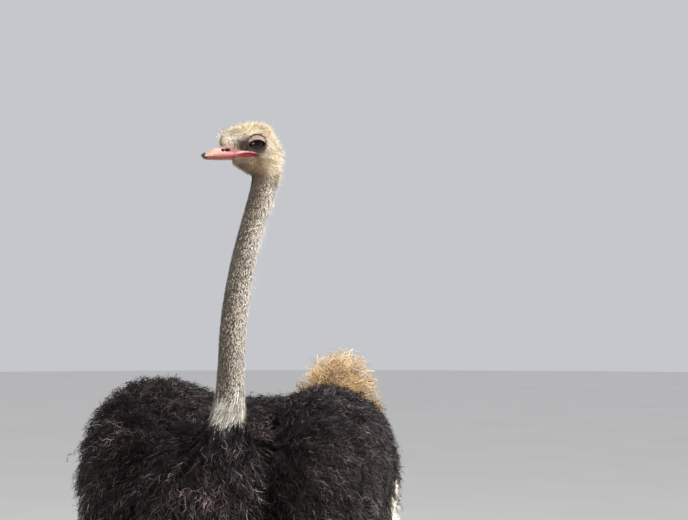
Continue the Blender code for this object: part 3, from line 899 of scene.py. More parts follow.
# %% Materials
def new_material(name, roughness, sheen=0.0, sheen_tint=(1, 1, 1), subsurface=0.0, coat=0.0, specular=0.5):
    material = bpy.data.materials.new(name)
    material.use_nodes = True
    shader = material.node_tree.nodes["Principled BSDF"]
    shader.inputs["Roughness"].default_value = roughness
    shader.inputs["Sheen Weight"].default_value = sheen
    shader.inputs["Sheen Roughness"].default_value = 0.4
    shader.inputs["Sheen Tint"].default_value = (*sheen_tint, 1)
    shader.inputs["Specular IOR Level"].default_value = specular
    shader.inputs["Coat Weight"].default_value = coat
    shader.inputs["Coat Roughness"].default_value = 0.08
    shader.inputs["Subsurface Weight"].default_value = subsurface
    shader.inputs["Subsurface Scale"].default_value = 0.004
    return material, material.node_tree, shader


# %% Nodes of a material
def add_node(tree, kind, **values):
    node = tree.nodes.new(kind)
    for key, value in values.items():
        if key in node.inputs:
            node.inputs[key].default_value = value
        else:
            setattr(node, key, value)
    return node


def noise(tree, scale, detail=4.0, roughness=0.6, stretch=(1, 1, 1)):
    """Noise in the piece's own coordinates; stretch squeezes it along an axis."""
    place = add_node(tree, "ShaderNodeTexCoord")
    mapping = add_node(tree, "ShaderNodeMapping", Scale=stretch)
    tree.links.new(place.outputs["Object"], mapping.inputs["Vector"])
    cloud = add_node(tree, "ShaderNodeTexNoise", Scale=scale, Detail=detail, Roughness=roughness)
    tree.links.new(mapping.outputs["Vector"], cloud.inputs["Vector"])
    return cloud.outputs["Fac"]


def between(tree, fac, low, high, out_low, out_high):
    limits = {"From Min": low, "From Max": high, "To Min": out_low, "To Max": out_high}
    node = add_node(tree, "ShaderNodeMapRange", **limits)
    tree.links.new(fac, node.inputs["Value"])
    return node.outputs["Result"]


# %% Noise that drives colour and bumps
def from_noise(tree, fac, low, high):
    """Noise mostly keeps between 0.3 and 0.7; this stretches it to run from low to high."""
    return between(tree, fac, 0.3, 0.7, low, high)


def shaded(tree, colour, shade):
    """Colour times a grey value."""
    node = add_node(tree, "ShaderNodeMix", data_type="RGBA", blend_type="MULTIPLY")
    node.inputs["Factor"].default_value = 1.0
    tree.links.new(colour, node.inputs["A"])
    tree.links.new(shade, node.inputs["B"])
    return node.outputs["Result"]


def tinted(tree, fac, low, high):
    """The tint painted on the mesh, darker and lighter with a noise."""
    tint = add_node(tree, "ShaderNodeVertexColor", layer_name="tint")
    return shaded(tree, tint.outputs["Color"], from_noise(tree, fac, low, high))


def two_tones(tree, fac, dark, light):
    """A colour that wanders between two with a noise."""
    node = add_node(tree, "ShaderNodeValToRGB")
    node.color_ramp.elements[0].color = (*dark, 1)
    node.color_ramp.elements[1].color = (*light, 1)
    tree.links.new(from_noise(tree, fac, 0.0, 1.0), node.inputs["Fac"])
    return node.outputs["Color"]


def bumped(tree, shader, height, strength, distance):
    node = add_node(tree, "ShaderNodeBump", Strength=strength, Distance=distance)
    tree.links.new(height, node.inputs["Height"])
    tree.links.new(node.outputs["Normal"], shader.inputs["Normal"])


# %% Four kinds of feather
def feather_material(name, roughness, sheen, sheen_tint, specular):
    material, tree, shader = new_material(name, roughness, sheen, sheen_tint, specular=specular)
    streak = noise(tree, 260.0, 3.0, 0.7)
    cloud = noise(tree, 14.0, 4.0, 0.6)
    colour = shaded(tree, tinted(tree, streak, 0.62, 1.3), from_noise(tree, cloud, 0.75, 1.2))
    tree.links.new(colour, shader.inputs["Base Color"])
    bumped(tree, shader, streak, 0.35, 0.0008)
    return material


black_plume = feather_material("black_plume", 0.46, 0.0, (0.75, 0.66, 0.72), 0.06)
pale_down = feather_material("pale_down", 0.62, 0.25, (1.0, 0.96, 0.9), 0.35)
white_plume = feather_material("white_plume", 0.6, 0.3, (1.0, 0.98, 0.95), 0.35)
tail_plume = feather_material("tail_plume", 0.62, 0.2, (1.0, 0.92, 0.78), 0.35)
print("feather materials:", [m.name for m in (black_plume, pale_down, white_plume, tail_plume)])

# %% [markdown]
# ## Body plumage
# Body feathers are tufts of frizzy barbs on a short shaft. They start under the surface, rise through the
# coat's depth and bend to lie along the body, so their tips end where the solids end. Three layers lie over
# one another: short dense plumes, longer and wavier ones, and a few wisps that stand out. On the breast they
# hang, and skirt plumes fall over the tops of the thighs. Paler shafts and glinting barbs come in patches of
# painted highlight, and a painted bluish sheen lies over the black in slow patches. In the furrows beside the
# wings all of this is darkened as painted shade. The white fans on the wings are left free. Copies of one
# plume would be quicker to make, but the eye soon finds the repeat, so each plume is grown for itself.

# %% Where the body plumage grows
HUB_AHEAD, HUB_ABOVE = 0.055, 0.028  # the plumes of a white fan start this far beyond its solid's corner
FAN_ROWS, FAR = 140, 0.09  # rings beside the fans, and metres beyond which a fan doesn't matter
on_body = (1 - neck_part(skin_grid)) * (row_number < first_neck_ring + 12)
for letter in "lr":
    fan = tree_of(f"wing_plumes_{letter}")
    low, high = (np.array(c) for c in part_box(f"wing_plumes_{letter}"))
    gap = np.full(skin_grid.shape[:2], FAR)
    beside = skin_grid[:FAN_ROWS]
    gap[:FAN_ROWS] = [[fan.find_nearest(Vector(p), FAR)[3] or FAR for p in row] for row in beside]
    from_hub = np.hypot(skin_grid[..., 1] - low[1] + HUB_AHEAD, skin_grid[..., 2] - high[2] - HUB_ABOVE)
    on_body = on_body * (1 - ramp(gap, 0.040, 0.028) * ramp(from_hub, 0.25, 0.33))
breast = ramp(-grid_normal[..., 1], 0.1, 0.7) * ramp(skin_grid[..., 2], 0.75, 1.0)
quick = 1.0
print("body plumage covers", round(float((cell_area * on_body[:-1]).sum()), 3), "m2")


# %% Layers of body plumes
def body_plumes(per_m2, length_low, length_high, barbs, seed, lift_low, lift_high, high=1.35, **looks):
    """One layer of plumes. They rise by the lift and bend back above `high` times the coat's depth."""
    roots = Roots(per_m2 * on_body, seed)
    local_depth = roots.value(depth)
    hang = roots.value(breast)
    length = roots.uniform(length_low, length_high) * (0.55 + 0.45 * np.clip(local_depth / BODY_COAT, 0, 1))
    turn = roots.uniform(-0.45, 0.45)[:, None]
    side = np.cross(roots.lie, roots.normal)
    lie_way = unit(roots.lie + side * turn - UP * 0.4 * hang[:, None])
    rise = roots.uniform(lift_low, lift_high) * np.clip(local_depth / 0.02, 0.3, 1)
    way = unit(lie_way * np.cos(rise)[:, None] + roots.normal * np.sin(rise)[:, None])
    height = length * np.sin(rise)
    over = np.maximum(height - local_depth * roots.uniform(0.9, high), 0) / length
    sideways = side * roots.uniform(-0.12, 0.12)[:, None]
    bend = -roots.normal * over[:, None] - UP * (0.06 + 0.1 * hang[:, None]) + sideways
    shade = roots.uniform(0.6, 1.7) * (1 + 0.35 * waves(roots.place, 0.09, 5))
    tint = blend(BLACK, BLACK_TIP, 0.45 * roots.uniform(0, 1) ** 6) * shade[:, None]
    # Painted shade: in the furrows beside the wings the tint, the shafts and the glints darken.
    open_to_light = 1 - 0.9 * roots.value(furrow)
    tint = tint * open_to_light[:, None]
    # The shafts are paler of their own; in patches they and a few glinting barbs also get painted highlight.
    shine = open_to_light * (0.25 + 1.1 * ramp(waves(roots.place, 0.10, 6), -0.5, 0.6))
    # Painted bluish sheen over the black, in slow patches.
    bluish_sheen = [0.8, 0.95, 1.35]
    tint = tint * blend(np.ones(3), bluish_sheen, 0.6 * ramp(waves(roots.place, 0.22, 9), 0.1, 0.6))
    shaft_tint = BLACK_SHAFT * (shine * (0.05 + 1.1 * roots.uniform(0, 1) ** 4))[:, None]
    return fringed(roots.place - roots.normal * 0.002, way, roots.normal, length, bend, roots.unwrap, tint,
                   shaft_tint, roots.rng, barbs=barbs, glint=GLINT * shine[:, None, None], **looks)


# %% Skirt plumes over the thighs
def skirt_plumes(count, seed):
    """Plumes that hang from the belly and over the tops of the thighs."""
    rng = np.random.default_rng(seed)
    places = points_of(skin)
    normals = np.empty(places.size, np.float32)
    skin.data.vertices.foreach_get("normal", normals)
    normals = normals.reshape(-1, 3)
    height = places[:, 2]
    weight = ramp(height, 0.865, 0.93) * ramp(height, 1.04, 0.98) * ramp(normals[:, 2], 0.5, 0.1)
    pick = rng.choice(len(places), count, p=weight / weight.sum())
    root, normal = places[pick], normals[pick]
    side = unit(np.cross(normal, UP))
    outward = normal * rng.uniform(0.15, 0.55, count)[:, None]
    way = unit(outward - UP + side * rng.normal(0, 0.3, (count, 1)))
    length = rng.uniform(0.055, 0.095, count)
    tint = blend(BLACK, BLACK_TIP, rng.uniform(0, 1, count) ** 3) * rng.uniform(0.7, 1.6, (count, 1))
    bend = -UP * 0.25 - normal * 0.15
    return fringed(root - normal * 0.002, way, unit(normal), length, bend, nearest_unwrap(root), tint,
                   tint * 3, rng, barbs=16, barb=0.30, width=0.0022, wave=0.25, steps=2, open_angle=1.0)


# %% Grow the body plumage
body_coat = [
    skirt_plumes(int(1500 * quick), 13),
    body_plumes(2450 * quick, 0.050, 0.075, 16, 11, 0.30, 0.70,
                barb=0.32, width=0.0022, wave=0.22, steps=2),
    body_plumes(2900 * quick, 0.060, 0.092, 22, 12, 0.45, 0.95,
                barb=0.26, width=0.0015, wave=0.34, steps=3, open_angle=1.15),
    body_plumes(240 * quick, 0.080, 0.115, 14, 14, 0.7, 1.15,
                high=2.1, barb=0.18, width=0.0016, wave=0.7, steps=4),
]
coat_pieces("body_plumage", body_coat, black_plume)

# %% [markdown]
# ## Neck bristles and the collar
# The neck is nearly bare. Short pale bristles lie down along it over dark skin, with dark ones among them.
# The nape is nearly white. The side away from the face is nearly white too and the side under the face dark,
# partly as their own colours and partly as painted light and painted shade, and just below the throat the
# coat is darker and browner with painted shade from the head. Long fine white hairs stand out from the nape.
# At its foot the bristles lengthen into the white collar, whose points overlap the black plumage. Four sets
# of bristles are grown, each from its own roots. One set of mixed lengths would look like wool; in four sets,
# each kind keeps its own length, width and stance.


# %% Bristles and their places on the neck
def bristle_set(roots, length, width, rise, tint, tip_tint, droop=0.0, steps=2, spread=0.35, hook=0.35):
    """Single bristles: `rise` is their angle to the skin, `spread` their unevenness, `hook` their bend."""
    side = np.cross(roots.lie, roots.normal)
    lie_way = unit(roots.lie + side * roots.rng.normal(0, spread, len(roots))[:, None])
    way = unit(lie_way * np.cos(rise)[:, None] + roots.normal * np.sin(rise)[:, None])
    inward = (hook * np.minimum(np.sin(rise), 0.6))[:, None]
    bend = side * roots.uniform(-0.15, 0.15)[:, None] - roots.normal * inward - UP * droop
    return ribbons(roots.place - roots.normal * 0.0003, way, roots.normal, length, width, bend, roots.unwrap,
                   tint, tip_tint, steps)


def neck_places(roots):
    """Shares from 0 to 1 for each root: in the collar, at the nape, on the dark side under the face, and on
    the pale side. The dark side is darker partly as painted shade; the pale side, the nape and the side away
    from the face, is lighter partly as painted light.
    """
    collar = ramp(ragged_collar(roots.place), 0.046, -0.004)
    nape = roots.value(dorsal)
    facing = roots.normal @ head_ahead
    return collar, nape, ramp(facing, -0.25, 0.7) * (1 - collar), np.maximum(nape, ramp(facing, 0.30, -0.60))


def shade_under_head(roots, pale):
    """Factor on the tint: painted shade just under the head makes the coat darker and browner, least so on
    its pale side.
    """
    top = ramp(roots.place[:, 2], throat_corner[2] - 0.125, throat_corner[2] - 0.055)
    return blend(np.ones(3), [0.60, 0.52, 0.43], top * (1 - 0.70 * pale))


# %% Short bristles of the neck
neck_weight = neck_part(skin_grid) * (1 - on_head)
roots = Roots(130_000 * quick * neck_weight, 21)
collar, nape, dark_and_shaded_side, pale = neck_places(roots)
salt = roots.uniform(0, 1) < 0.60 + 0.34 * collar + 0.22 * nape
# Painted shade: fewer pale bristles on the dark side under the face.
salt &= roots.uniform(0, 1) > 0.70 * dark_and_shaded_side
light = CREAM * roots.uniform(0.7, 1.35)[:, None]
tint = np.where(salt[:, None], light, DARK_HAIR * roots.uniform(0.6, 1.6)[:, None])
# White bristles in the collar and on the pale side: the nape's own white, and painted light on the side away
# from the face.
tint = blend(tint, WHITE * roots.uniform(0.7, 1.2)[:, None], np.maximum(0.7 * collar, 0.9 * pale) * salt)
tint = tint * shade_under_head(roots, pale)
length = roots.uniform(0.0050, 0.0085) * (1 + 3.0 * collar + 0.5 * nape)
rise = roots.uniform(0.10, 0.42) * (1 - 0.3 * collar) + 0.5 * nape * (1 - collar) * roots.uniform(0, 1) ** 2
width = roots.uniform(0.0007, 0.0012) * (1 + 0.4 * collar)
neck_coat = [bristle_set(roots, length, width, rise, tint * 0.6, tint * 1.1, spread=0.5)]
print("short bristles:", len(roots), "pale", round(float(salt.mean()), 2))

# %% Stronger bristles among them
roots = Roots(84_000 * quick * neck_weight, 23)
collar, nape, dark_and_shaded_side, pale = neck_places(roots)
# Painted shade: bristles are darker on the dark side under the face.
shade = roots.uniform(0.5, 1.5) * (1 - 0.62 * dark_and_shaded_side)
white = WHITE * roots.uniform(0.6, 1.2)[:, None]
tint = blend(CREAM * shade[:, None], white, np.maximum(0.9 * collar, 0.95 * pale))
# More painted shade towards the head, with more dark bristles there.
dark_and_shaded_side = dark_and_shaded_side + 0.5 * dark_and_shaded_side * ramp(roots.place[:, 2], throat_corner[2] - 0.16, throat_corner[2])
dark = roots.uniform(0, 1) < (0.40 + 0.34 * dark_and_shaded_side) * (1 - 0.8 * pale) * (1 - collar)
tint = np.where(dark[:, None], DARK_HAIR * 0.6, tint) * shade_under_head(roots, pale)
length = roots.uniform(0.0045, 0.0075) * (1 + 3.0 * collar)
width = roots.uniform(0.0011, 0.0018) * (1 + 0.5 * collar)
rise = roots.uniform(0.25, 0.7) * (1 - 0.4 * collar)
neck_coat.append(bristle_set(roots, length, width, rise, tint * 0.35, tint * 1.1, spread=0.55))
print("stronger bristles:", len(roots), "dark", round(float(dark.mean()), 2))

# %% Hairs of the nape and the collar
roots = Roots(20_000 * quick * up_neck * ramp(skin_grid[..., 2], 1.62, 1.90) * dorsal, 24)
tint = WHITE * roots.uniform(0.8, 1.2)[:, None]
length, width, rise = roots.uniform(0.011, 0.019), roots.uniform(0.0005, 0.0008), roots.uniform(0.6, 1.3)
neck_coat.append(bristle_set(roots, length, width, rise, tint, tint, steps=3, spread=0.4, hook=0.05))
print("nape hairs:", len(roots))
collar_edge = bump(ragged_collar(skin_grid), 0.012, 0.024) * near_neck(skin_grid)
roots = Roots(66_000 * quick * collar_edge, 22)
black_below = 0.8 * ramp(ragged_collar(roots.place), -0.002, -0.03)
tint = blend(WHITE * roots.uniform(0.12, 1.0)[:, None], BLACK * 2, black_below)
length, width, rise = roots.uniform(0.022, 0.050), roots.uniform(0.0010, 0.0019), roots.uniform(0.10, 0.32)
neck_coat.append(bristle_set(roots, length, width, rise, tint, tint, droop=0.05, steps=3, spread=0.16))
coat_pieces("neck_bristles", neck_coat, pale_down)

# %% [markdown]
# ## Head bristles
# The crown bristles are stiff and stand nearly upright, so the outline of the head is a soft halo of
# points, with sparse long brown hairs among them. Behind the crown they lie flat. On the cheeks they lie
# back and shorten towards the bill and the eyes, where they are the smallest of all; under the throat they
# hang as a short beard. The short coat is moved by the same folds as the face, so it sits on the brow and
# the cheek and doesn't float over them.

# %% Where the head's coat grows
head_a, head_l, head_u = np.moveaxis(head_frame(skin_grid), -1, 0)
low_rear = (head_u < 0) & (head_a < 0.006)
eye_gap = np.hypot(head_a * np.where(head_a < 0, 1.1, 0.92), head_u * np.where(low_rear, 1.22, 0.95))
clear_of_eye = np.where(np.abs(head_l) > 0.015, ramp(eye_gap, 0.0226, 0.0256), 1.0)
bare = ramp(head_u, bare_below(head_a) - 0.001, bare_below(head_a) + 0.001)
bare = bare * ramp(head_u, bare_above(head_a) + 0.001, bare_above(head_a) - 0.001)
clear_of_mouth = 1 - bare * ramp(head_a, -0.008, -0.003)
head_weight = on_head * clear_of_eye * clear_of_mouth
print("coat of the head covers", round(float((cell_area * head_weight[:-1]).sum()), 4), "m2")

# %% Short coat of the head
roots = Roots(700_000 * quick * head_weight, 31)
flat_back = roots.value(slope_back)
upright = roots.value(np.maximum(crown, 0.55 * rear)) * (1 - 0.6 * flat_back)
face = roots.value(ramp(head_a, -0.005, 0.035) * (1 - crown))
beard = ramp(head_u, -0.030, -0.042) * ramp(head_a, -0.010, 0.012) * ramp(head_u, -0.072, -0.060)
beard = roots.value(beard)
length = roots.uniform(0.6, 1.1) * (0.0072 + 0.0066 * upright - 0.0030 * face + 0.0085 * beard)
rise = roots.uniform(0.25, 0.6) + upright * roots.uniform(0.3, 0.9) + beard * roots.uniform(0.1, 0.7)
# Painted light: upright crown bristles are made up to a fifth brighter.
colour = head_colour(roots.place) * (roots.uniform(0.65, 1.15) * (1 + 0.20 * upright))[:, None]
dark = roots.uniform(0, 1) < 0.16 - 0.10 * upright
colour = np.where(dark[:, None], colour * 0.35, colour)
roots.place = sculpt_face(roots.place)
width = roots.uniform(0.0006, 0.0011)
head_coat = [bristle_set(roots, length, width, rise, colour * 0.95, colour * 1.15, spread=0.3, hook=0.15)]
print("short coat:", len(roots))

# %% Stronger bristles of the head
roots = Roots(170_000 * quick * head_weight, 32)
upright = roots.value(np.maximum(crown, 0.8 * rear)) * (1 - 0.6 * roots.value(slope_back))
rise = roots.uniform(0.35, 0.7) + upright * roots.uniform(0.2, 0.85)
# Painted light: upright crown bristles are made up to a fifth brighter.
shade = roots.uniform(0.5, 1.2) * (1 + 0.20 * upright)
dark = roots.uniform(0, 1) < 0.17 - 0.10 * upright
colour = blend(head_colour(roots.place) * shade[:, None], DARK_HAIR, dark)
length = (0.0062 + 0.0056 * upright) * roots.uniform(0.8, 1.2)
width = roots.uniform(0.0011, 0.0018)
head_coat.append(bristle_set(roots, length, width, rise, colour * 0.85, colour * 1.15, spread=0.3, hook=0.1))
print("stronger bristles:", len(roots))

# %% Long standing hairs
fringe = 0.6 * ramp(head_a, 0.030, 0.044) * ramp(head_u, 0.012, 0.024)
standing = np.maximum(np.maximum(crown, 0.9 * rear) * (1 - 0.7 * slope_back), fringe)
roots = Roots(90_000 * quick * on_head * standing * ramp(eye_gap, 0.028, 0.038), 33)
dark = roots.uniform(0, 1) < 0.52 - 0.40 * roots.value(rear)
brown = np.array([0.120, 0.084, 0.054])
colour = blend(head_colour(roots.place), brown * 1.5, dark)
tip_colour = blend(head_colour(roots.place), brown * 0.7, dark)
length, width, rise = roots.uniform(0.012, 0.024), roots.uniform(0.0006, 0.0010), roots.uniform(0.8, 1.4)
head_coat.append(bristle_set(roots, length, width, rise, colour, tip_colour, steps=3, spread=0.4, hook=0.05))
coat_pieces("head_bristles", head_coat, pale_down)

# %% [markdown]
# ## Colour of the skin
# The skin wears the same markings as the coat, so that gaps between feathers look right: black under the
# black plumage, dark on the neck. Where the skin is bare it carries the colours itself. The face has pale
# lids, a dark rim at the opening, a dark line of painted shade in the fold above each upper lid, and a pink
# strip that is crimson at the gape, with a pale band of painted highlight along its upper part; the legs are
# pinkish grey and redder on the shank. Noise adds pores and folds, and a cell pattern makes the net of small
# scales below the thigh.
# The mesh is fine enough to hold all of this point by point, so the colours need no image.

# %% Colours of the skin
LID, RIM = np.array([0.25, 0.175, 0.14]), np.array([0.020, 0.013, 0.011])
PINK, CRIMSON = np.array([0.48, 0.195, 0.20]), np.array([0.21, 0.009, 0.020])


def skin_colour(points):
    a, l, u = np.moveaxis(head_frame(points), -1, 0)
    z = points[:, 2]
    colour = blend(LEG_SKIN, BLACK * 1.4, ramp(z + 0.012 * waves(points, 0.06, 53), 0.90, 0.95))
    colour = blend(colour, NECK_SKIN, neck_part(points))
    head = ramp(z, throat_corner[2] - 0.02, throat_corner[2] + 0.03)
    colour = blend(colour, head_colour(points) * 0.6, head)
    face = (np.abs(l) > 0.014) * head
    reach, gap = np.hypot(a, u), eye_opening(a, u)
    colour = blend(colour, FACE_SKIN * 0.22, face * ramp(reach, 0.0268, 0.0238))
    upper = face * ramp(u, 0.004, 0.008) * ramp(reach, 0.0222, 0.0205)
    colour = blend(colour, LID, 0.92 * upper)
    # Painted shade: a dark line in the fold above the upper lid, running round behind the eye.
    over_lid = np.maximum(ramp(u, 0.001, 0.010), (a < -0.010) * ramp(u, -0.016, -0.008))
    colour = blend(colour, RIM * 1.6, face * 0.95 * bump(reach, 0.0232, 0.0020) * over_lid)
    colour = blend(colour, RIM, face * ramp(gap, 0.0019, 0.0008))
    pale_fold = np.hypot(a - 0.0292, (u + 0.0082) * 0.28)
    colour = blend(colour, LID * 1.2, face * 0.9 * bump(pale_fold, 0.0, 0.0009))
    dark_corner = np.hypot(a - 0.0205, (u - 0.0005) * 1.3)
    colour = blend(colour, RIM * 1.3, face * 0.9 * bump(dark_corner, 0.0, 0.0050))
    gape, low, high = u - mouth_height(a), bare_below(a), bare_above(a)
    strip = face * ramp(u, low - 0.0012, low + 0.0008) * ramp(u, high + 0.0010, high - 0.0010)
    strip = strip * ramp(a, -0.0065, -0.0035)
    pink = blend(PINK, CRIMSON, ramp(a, 0.060, 0.036) * ramp(gape, 0.0036, 0.0016))
    pink = blend(pink, CRIMSON * 1.3, 0.8 * bump(gape, -0.0035, 0.0016) * ramp(a, 0.040, 0.028))
    # Painted highlight: a pale pink band along the upper part of the strip.
    pink = blend(pink, [0.72, 0.42, 0.42], 0.8 * bump(gape, 0.0058, 0.0020) * ramp(a, 0.010, 0.022))
    pink = pink * (1 - 0.45 * ramp(a, 0.015, 0.003))[:, None]
    colour = blend(colour, pink, strip)
    colour = blend(colour, RIM, face * bump(gape, 0, 0.0008) * ramp(a, -0.006, 0.002) * 0.75)
    colour = blend(colour, RIM * 0.5, face * np.clip(2.6 * nostril(a, u) - 0.2, 0, 1))
    shank = ramp(z, 0.60, 0.42)
    colour = blend(colour, [0.36, 0.17, 0.14], shank * (1 - head) * 0.8)
    colour = blend(colour, [0.22, 0.15, 0.11], ramp(z, 0.10, 0.0) * 0.6)  # dust on the feet
    return colour * (1 + 0.16 * waves(points, 0.05, 51) + 0.10 * waves(points, 0.012, 52))[:, None]


# %% Material of skin and scales
def skin_material(name, plates):
    """Bare skin: pores, folds and mottling, and on the shank a net of scales as strong as `plates`."""
    material, tree, shader = new_material(name, 0.5, 0.03, subsurface=0.08, specular=0.30)
    pores = noise(tree, 420.0, 4.0, 0.65)
    folds = noise(tree, 70.0, 5.0, 0.6, (1, 1, 0.45))
    mottle = noise(tree, 22.0, 5.0, 0.62)
    colour = shaded(tree, tinted(tree, pores, 0.8, 1.15), from_noise(tree, mottle, 0.80, 1.15))
    place = add_node(tree, "ShaderNodeTexCoord")
    spread = add_node(tree, "ShaderNodeSeparateXYZ")
    tree.links.new(place.outputs["Object"], spread.inputs["Vector"])
    scaly = between(tree, spread.outputs["Z"], 0.62, 0.46, 0.0, plates)
    cells = add_node(tree, "ShaderNodeTexVoronoi", feature="DISTANCE_TO_EDGE", Scale=150.0)
    tree.links.new(place.outputs["Object"], cells.inputs["Vector"])
    seam = add_node(tree, "ShaderNodeMix", data_type="FLOAT", A=1.0)
    tree.links.new(scaly, seam.inputs["Factor"])
    tree.links.new(between(tree, cells.outputs["Distance"], 0.0, 0.12, 0.72, 1.05), seam.inputs["B"])
    tree.links.new(shaded(tree, colour, seam.outputs["Result"]), shader.inputs["Base Color"])
    tree.links.new(from_noise(tree, folds, 0.42, 0.62), shader.inputs["Roughness"])
    height = add_node(tree, "ShaderNodeMath", operation="ADD")
    tree.links.new(from_noise(tree, pores, 0.0, 0.35), height.inputs[0])
    tree.links.new(between(tree, folds, 0.35, 0.65, 0.0, 1.0), height.inputs[1])
    raised = add_node(tree, "ShaderNodeMath", operation="MULTIPLY_ADD")
    tree.links.new(scaly, raised.inputs[0])
    tree.links.new(between(tree, cells.outputs["Distance"], 0.0, 0.16, 0.0, 1.0), raised.inputs[1])
    tree.links.new(height.outputs["Value"], raised.inputs[2])
    bumped(tree, shader, raised.outputs["Value"], 0.6, 0.0013)
    return material


# %% Dress the skin
skin_look = skin_material("bare_skin", 1.0)
scale_look = skin_material("scale_horn", 0.0)
paint(skin.data, np.clip(skin_colour(points_of(skin)), 0, 1))
skin.data.materials.clear()
skin.data.materials.append(skin_look)
skin.data.shade_smooth()
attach(skin, "root")
flesh = ["head", "neck_upper", "neck_middle", "neck_lower", "trunk"]
flesh += [f"{part}_{side}" for part in ("wing", *LEG_PARTS) for side in "lr"]
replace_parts(skin, *flesh)
print("skin painted; replaces", len(flesh), "nodes")

# %% [markdown]
# ## Eyes
# Each eye is a ball with a clear bulge in front, brown iris and a wide pupil. The bulge is part of the same
# mesh, and a glossy clear coat over the whole ball does the work of the wet surface. The clear front could
# be a second shell round the ball, but one mesh is simpler, and from outside it looks the same.

# %% Two eyes
eye_look, tree, shader = new_material("eye", 0.12, coat=0.22, specular=0.14)
fibres = noise(tree, 700.0, 3.0, 0.7)
tree.links.new(tinted(tree, fibres, 0.6, 1.4), shader.inputs["Base Color"])
tree.links.new(from_noise(tree, fibres, 0.08, 0.16), shader.inputs["Roughness"])
rows, columns = 64, 96
polar = np.linspace(0.02, math.pi - 0.02, rows)[:, None]
around = np.arange(columns)[None, :] * 2 * math.pi / columns
radius = eye_radius * (0.985 + 0.015 * bump(polar, 0, 0.45)) + 0 * around
for side, letter in ((1, "l"), (-1, "r")):
    axis = unit(head_left * side + head_ahead * 0.10 - UP * 0.04)
    e1 = unit(np.cross(axis, UP))
    e2 = np.cross(axis, e1)
    level = np.cos(around)[..., None] * e1 + np.sin(around)[..., None] * e2
    way = np.cos(polar)[..., None] * axis + np.sin(polar)[..., None] * level
    ball = eye_centres[side] + way * radius[..., None]
    front, back = eye_centres[side] + axis * eye_radius, eye_centres[side] - axis * eye_radius * 0.985
    points, triangles = capped(ball, (rows, columns), front, back)
    angle = np.concatenate([np.repeat(polar[:, 0], columns), [0.0, math.pi]])
    colour = blend([0.024, 0.011, 0.007], [0.0018, 0.0014, 0.0014], ramp(angle, 0.46, 0.40))  # iris and pupil
    colour = blend(colour, [0.010, 0.006, 0.005], ramp(angle, 0.66, 0.76))
    eye = new_piece(f"eyeball_{letter}", points, triangles, tint=colour, material=eye_look)
    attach(eye, "root")
    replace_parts(eye, f"eye_{letter}")
print("eye radius", round(eye_radius, 4))

# %% [markdown]
# ## Bill
# The bill is wide, flat and blunt. Each half is a tube of flattened sections whose height and width come
# from a few named stations. The upper half has a raised ridge that ends in a nail, slit nostrils and a
# rounded cutting edge; the lower half is a shallow tray with a small nail of its own. Both run back under
# the face skin. The nostril function that darkened the skin also presses the slit into the bill, so the two
# agree. The solids could be carved instead, but sections keep every edge exactly where the stations put it.

# %% Stations along the bill
BILL_ROWS, BILL_COLUMNS = 110, 96
stations = 0.1285 - 0.0985 * np.linspace(1, 0, BILL_ROWS) ** 1.25
bill_top = np.interp(stations, [0.030, 0.060, 0.080, 0.0848, 0.1069, 0.1210, 0.1265, 0.1285],
                     [-0.0040, 0.0000, 0.0008, -0.0010, -0.0130, -0.0192, -0.0222, -0.0246])
bill_half = np.interp(stations, [0.030, 0.058, 0.070, 0.0848, 0.1069, 0.1190, 0.1255, 0.1285],
                      [0.0290, 0.0318, 0.0282, 0.0236, 0.0198, 0.0152, 0.0108, 0.0060])
bill_gape = mouth_height(stations)
bill_under = np.interp(stations, [0.030, 0.060, 0.090, 0.116, 0.1245, 0.1285],
                       [-0.0330, -0.0345, -0.0348, -0.0342, -0.0325, -0.0305])


def softened(values, sigma):
    weights = soft_weights(sigma)
    return np.convolve(np.pad(values, len(weights) // 2, mode="edge"), weights, mode="valid")


bill_top, bill_half, bill_under = softened(bill_top, 3), softened(bill_half, 2), softened(bill_under, 3)


